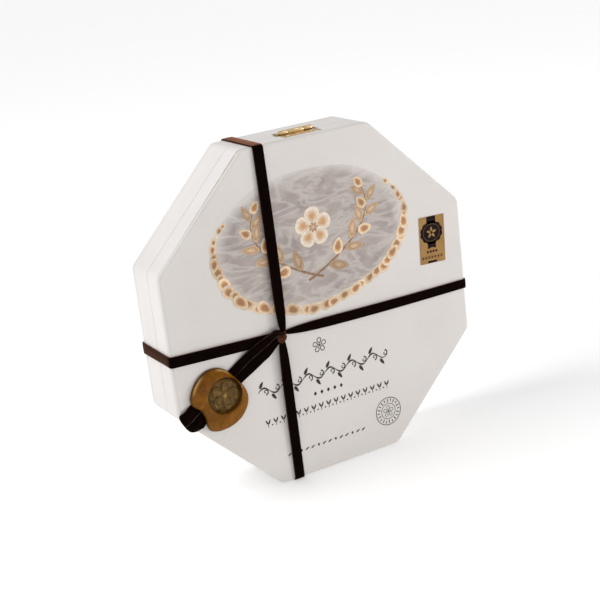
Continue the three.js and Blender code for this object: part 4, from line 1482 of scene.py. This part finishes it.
ornaments = {
    "out": 0.02, "rosette": (-6.5, -22.7, 4.6), "rosetteLine": 0.5,
    "diamonds": (-13, 5, -51.5, 5),  # for each row its left end, right end, z and count
    "border": (-46, 36.5, -60.5, 17),
    "rule": (-34.5, 17, -83.5, 14),
    "diamond": (1.1, 1.4), "smallDiamond": (0.8, 1.1), "ruleLeaf": (0.5, 3.0, 0.9),
    "sprout": (0.9, 1.25, 2.0, 1.14, 3.1, 1.0),  # leaves: aside, above, both turns, length and width
    "sproutStem": (-2.2, 0.4, 0.42), "sproutDot": (-1.2, 0.5, 10),
}
vine = {
    "from": -50, "to": 39, "z": -40.5, "wave": 15, "swing": 2.3, "steps": 96,
    "line": (0.4, 0.75), "swells": 12, "thinEnd": 8,
    "curls": 12, "curlSteps": 17, "curlRadius": 1.9, "curlLoss": 19, "curlStart": 0.75, "curlTurn": 0.42,
    "curlAt": (1.2, 2.6), "curlLine": (0.85, 0.03), "leafAt": (1.2, 2.2), "leaf": (1.0, 4.6, 1.9),
}
stamp = {
    "x": 35.8, "z": -77.8, "radius": 8.8, "outerLine": 0.45,
    "innerShare": 0.56, "innerLine": 0.35, "innerSteps": 36,
    "rays": 20, "rayStarts": (0.72, 0.66), "rayEnd": 0.9, "rayWidth": 0.6,
    "blossomShare": 0.42, "blossomLine": 0.32,
}


def blossomLines(x, z, size, width, out, steps=14):  # five petals in outline round a dot
    pieces = [discShape(x, z, size * 0.17, out, steps)]
    for angle in petalAngles:
        outline = []
        for j in range(steps):
            a = turn * j / steps
            along = size * (0.62 + 0.34 * math.cos(a))
            side = size * 0.27 * math.sin(a) * (1 + 0.3 * math.cos(a))
            outline.append(turnedPoint(x, z, angle, along, side))
        pieces.append(inkLine(outline, width, out, closed=True))
    return pieces


def vinePoint(x):
    return x, vine["z"] + vine["swing"] * math.sin(turn * (x - vine["from"]) / vine["wave"])


def addCurl(x, z, way, out):
    steps, (aside, above), (thick, thinner) = vine["curlSteps"], vine["curlAt"], vine["curlLine"]
    spiral = []
    for j in range(steps):
        radius = vine["curlRadius"] * (1 - j / vine["curlLoss"])
        angle = way * (turn * vine["curlStart"] + j * vine["curlTurn"])
        spiral.append(polar(radius, angle, x + aside, z - way * above))
    return inkLine(spiral, [thick - thinner * j for j in range(steps)], out)


def addVine(out):
    length, count = vine["to"] - vine["from"], vine["steps"]
    points = [vinePoint(vine["from"] + length * i / count) for i in range(count + 1)]
    thin, swelling = vine["line"]
    widths = []
    for i in range(count + 1):
        swell = math.sin(math.pi * vine["swells"] * i / count) ** 2
        swell *= min(1, vine["thinEnd"] * (1 - i / count))
        widths.append(thin + swelling * swell)
    pieces = [inkLine(points, widths, out)]
    aside, above = vine["leafAt"]
    lean, leafLength, leafWidth = vine["leaf"]
    for i in range(vine["curls"]):
        x, z = vinePoint(vine["from"] + vine["wave"] / 2 * (i + 0.5))
        if x > vine["to"] - 1:
            break
        way = -1 if i % 2 else 1
        pieces.append(addCurl(x, z, way, out))
        pieces.append(leafShape(x - aside, z + way * above, way * lean, leafLength, leafWidth, out))
    return pieces


def placesAlong(name):  # the number, x and z of each ornament in a row
    low, high, z, count = ornaments[name]
    return [(i, low + (high - low) * i / (count - 1), z) for i in range(count)]


def addSprout(x, z, out):
    aside, above, leftTurn, rightTurn, length, width = ornaments["sprout"]
    low, high, line = ornaments["sproutStem"]
    return [leafShape(x - aside, z + above, leftTurn, length, width, out),
            leafShape(x + aside, z + above, rightTurn, length, width, out),
            inkLine([(x, z + low), (x, z + high)], line, out)]


def addRows(out):
    pieces = [diamondShape(x, z, *ornaments["diamond"], out) for i, x, z in placesAlong("diamonds")]
    low, high, z, count = ornaments["border"]
    dotZ, dotSize, dotSides = ornaments["sproutDot"]
    for i, x, z in placesAlong("border"):
        pieces += addSprout(x, z, out)
        if i:
            pieces.append(discShape(x - (high - low) / (count - 1) / 2, z + dotZ, dotSize, out, dotSides))
    for i, x, z in placesAlong("rule"):
        if i % 3 == 2:
            pieces.append(diamondShape(x, z, *ornaments["smallDiamond"], out))
        else:
            pieces.append(leafShape(x, z, *ornaments["ruleLeaf"], out))
    return pieces


def addStampPrint(out):
    x, z, radius = stamp["x"], stamp["z"], stamp["radius"]
    pieces = [ringLine(x, z, radius, stamp["outerLine"], out),
              ringLine(x, z, radius * stamp["innerShare"], stamp["innerLine"], out, stamp["innerSteps"])]
    for i in range(stamp["rays"]):
        angle = turn * i / stamp["rays"]
        near, far = radius * stamp["rayStarts"][i % 2], radius * stamp["rayEnd"]
        pieces.append(inkLine([polar(near, angle, x, z), polar(far, angle, x, z)], stamp["rayWidth"], out))
    return pieces + blossomLines(x, z, radius * stamp["blossomShare"], stamp["blossomLine"], out)


def makeOrnaments():
    out = ornaments["out"]
    x, z, size = ornaments["rosette"]
    pieces = blossomLines(x, z, size, ornaments["rosetteLine"], out) + addVine(out) + addRows(out)
    dress(joinPieces(pieces + addStampPrint(out)), "print_small_ornaments", "printed_ink", greyInk)
    print("ornaments done")


makeOrnaments()


# Camera, floor and light

shot = {"from": (-364.5, 242.9, 647.57), "towards": (-15.7, 7.3, 0), "roll": -6.9, "lens": 80.93}
studio = {"floorSize": 30, "world": 0.56, "glow": (0.25, 0.43), "glowReach": (0.25, 0.9)}
lamps = {
    "left": {"from": (-840, 980, -190), "size": 600, "power": 7.25},
    "key": {"from": (1200, 50, 715), "size": 400, "power": 7.5},
    "high": {"from": (560, 900, 300), "size": 140, "power": 0.3},
}


def makeCamera():
    x, z, out = shot["from"]
    bpy.ops.object.camera_add(location=place(x, z, out))
    camera = bpy.context.object
    look = place(*shot["towards"]) - camera.location
    facing = look.to_track_quat("-Z", "Y").to_matrix() @ Matrix.Rotation(math.radians(shot["roll"]), 3, "Z")
    camera.rotation_euler = facing.to_euler()
    camera.data.lens = shot["lens"]
    bpy.context.scene.camera = camera


def makeFloor():
    floor = startPiece(bpy.ops.mesh.primitive_plane_add, size=studio["floorSize"])
    floor.name = "floor"
    finish = startFinish("pale floor", Roughness=0.9, Emission_Color=(1, 1, 1, 1))
    away = addNode(finish, "VectorMath", {0: coordinates(finish)}, operation="LENGTH").outputs["Value"]
    feed(finish, "Emission Strength", spread(finish, away, *studio["glowReach"], *studio["glow"]))
    tone = grain(finish, coordinates(finish), 3, 2)
    feed(finish, "Base Color", mixColours(finish, tone, (0.9, 0.9, 0.9, 1), (0.88, 0.88, 0.88, 1)))
    floor.data.materials.append(finish)


def makeLight():
    world = bpy.data.worlds.new("studio")
    bpy.context.scene.world = world
    world.use_nodes = True
    background = world.node_tree.nodes["Background"]
    background.inputs["Color"].default_value = (1, 1, 1, 1)
    background.inputs["Strength"].default_value = studio["world"]
    for name, lamp in lamps.items():
        x, z, out = lamp["from"]
        bpy.ops.object.light_add(type="AREA", location=place(x, z, out))
        light = bpy.context.object
        light.name = name + " softbox"
        light.data.shape = "DISK"
        light.data.size = lamp["size"] * mm
        light.data.energy = lamp["power"]
        look = place(0, 0, -caseDepth / 2) - light.location
        light.rotation_euler = look.to_track_quat("-Z", "Y").to_euler()


deselectAll()
makeCamera()
makeFloor()
makeLight()
bpy.context.scene.view_settings.view_transform = "Standard"
print("studio done")
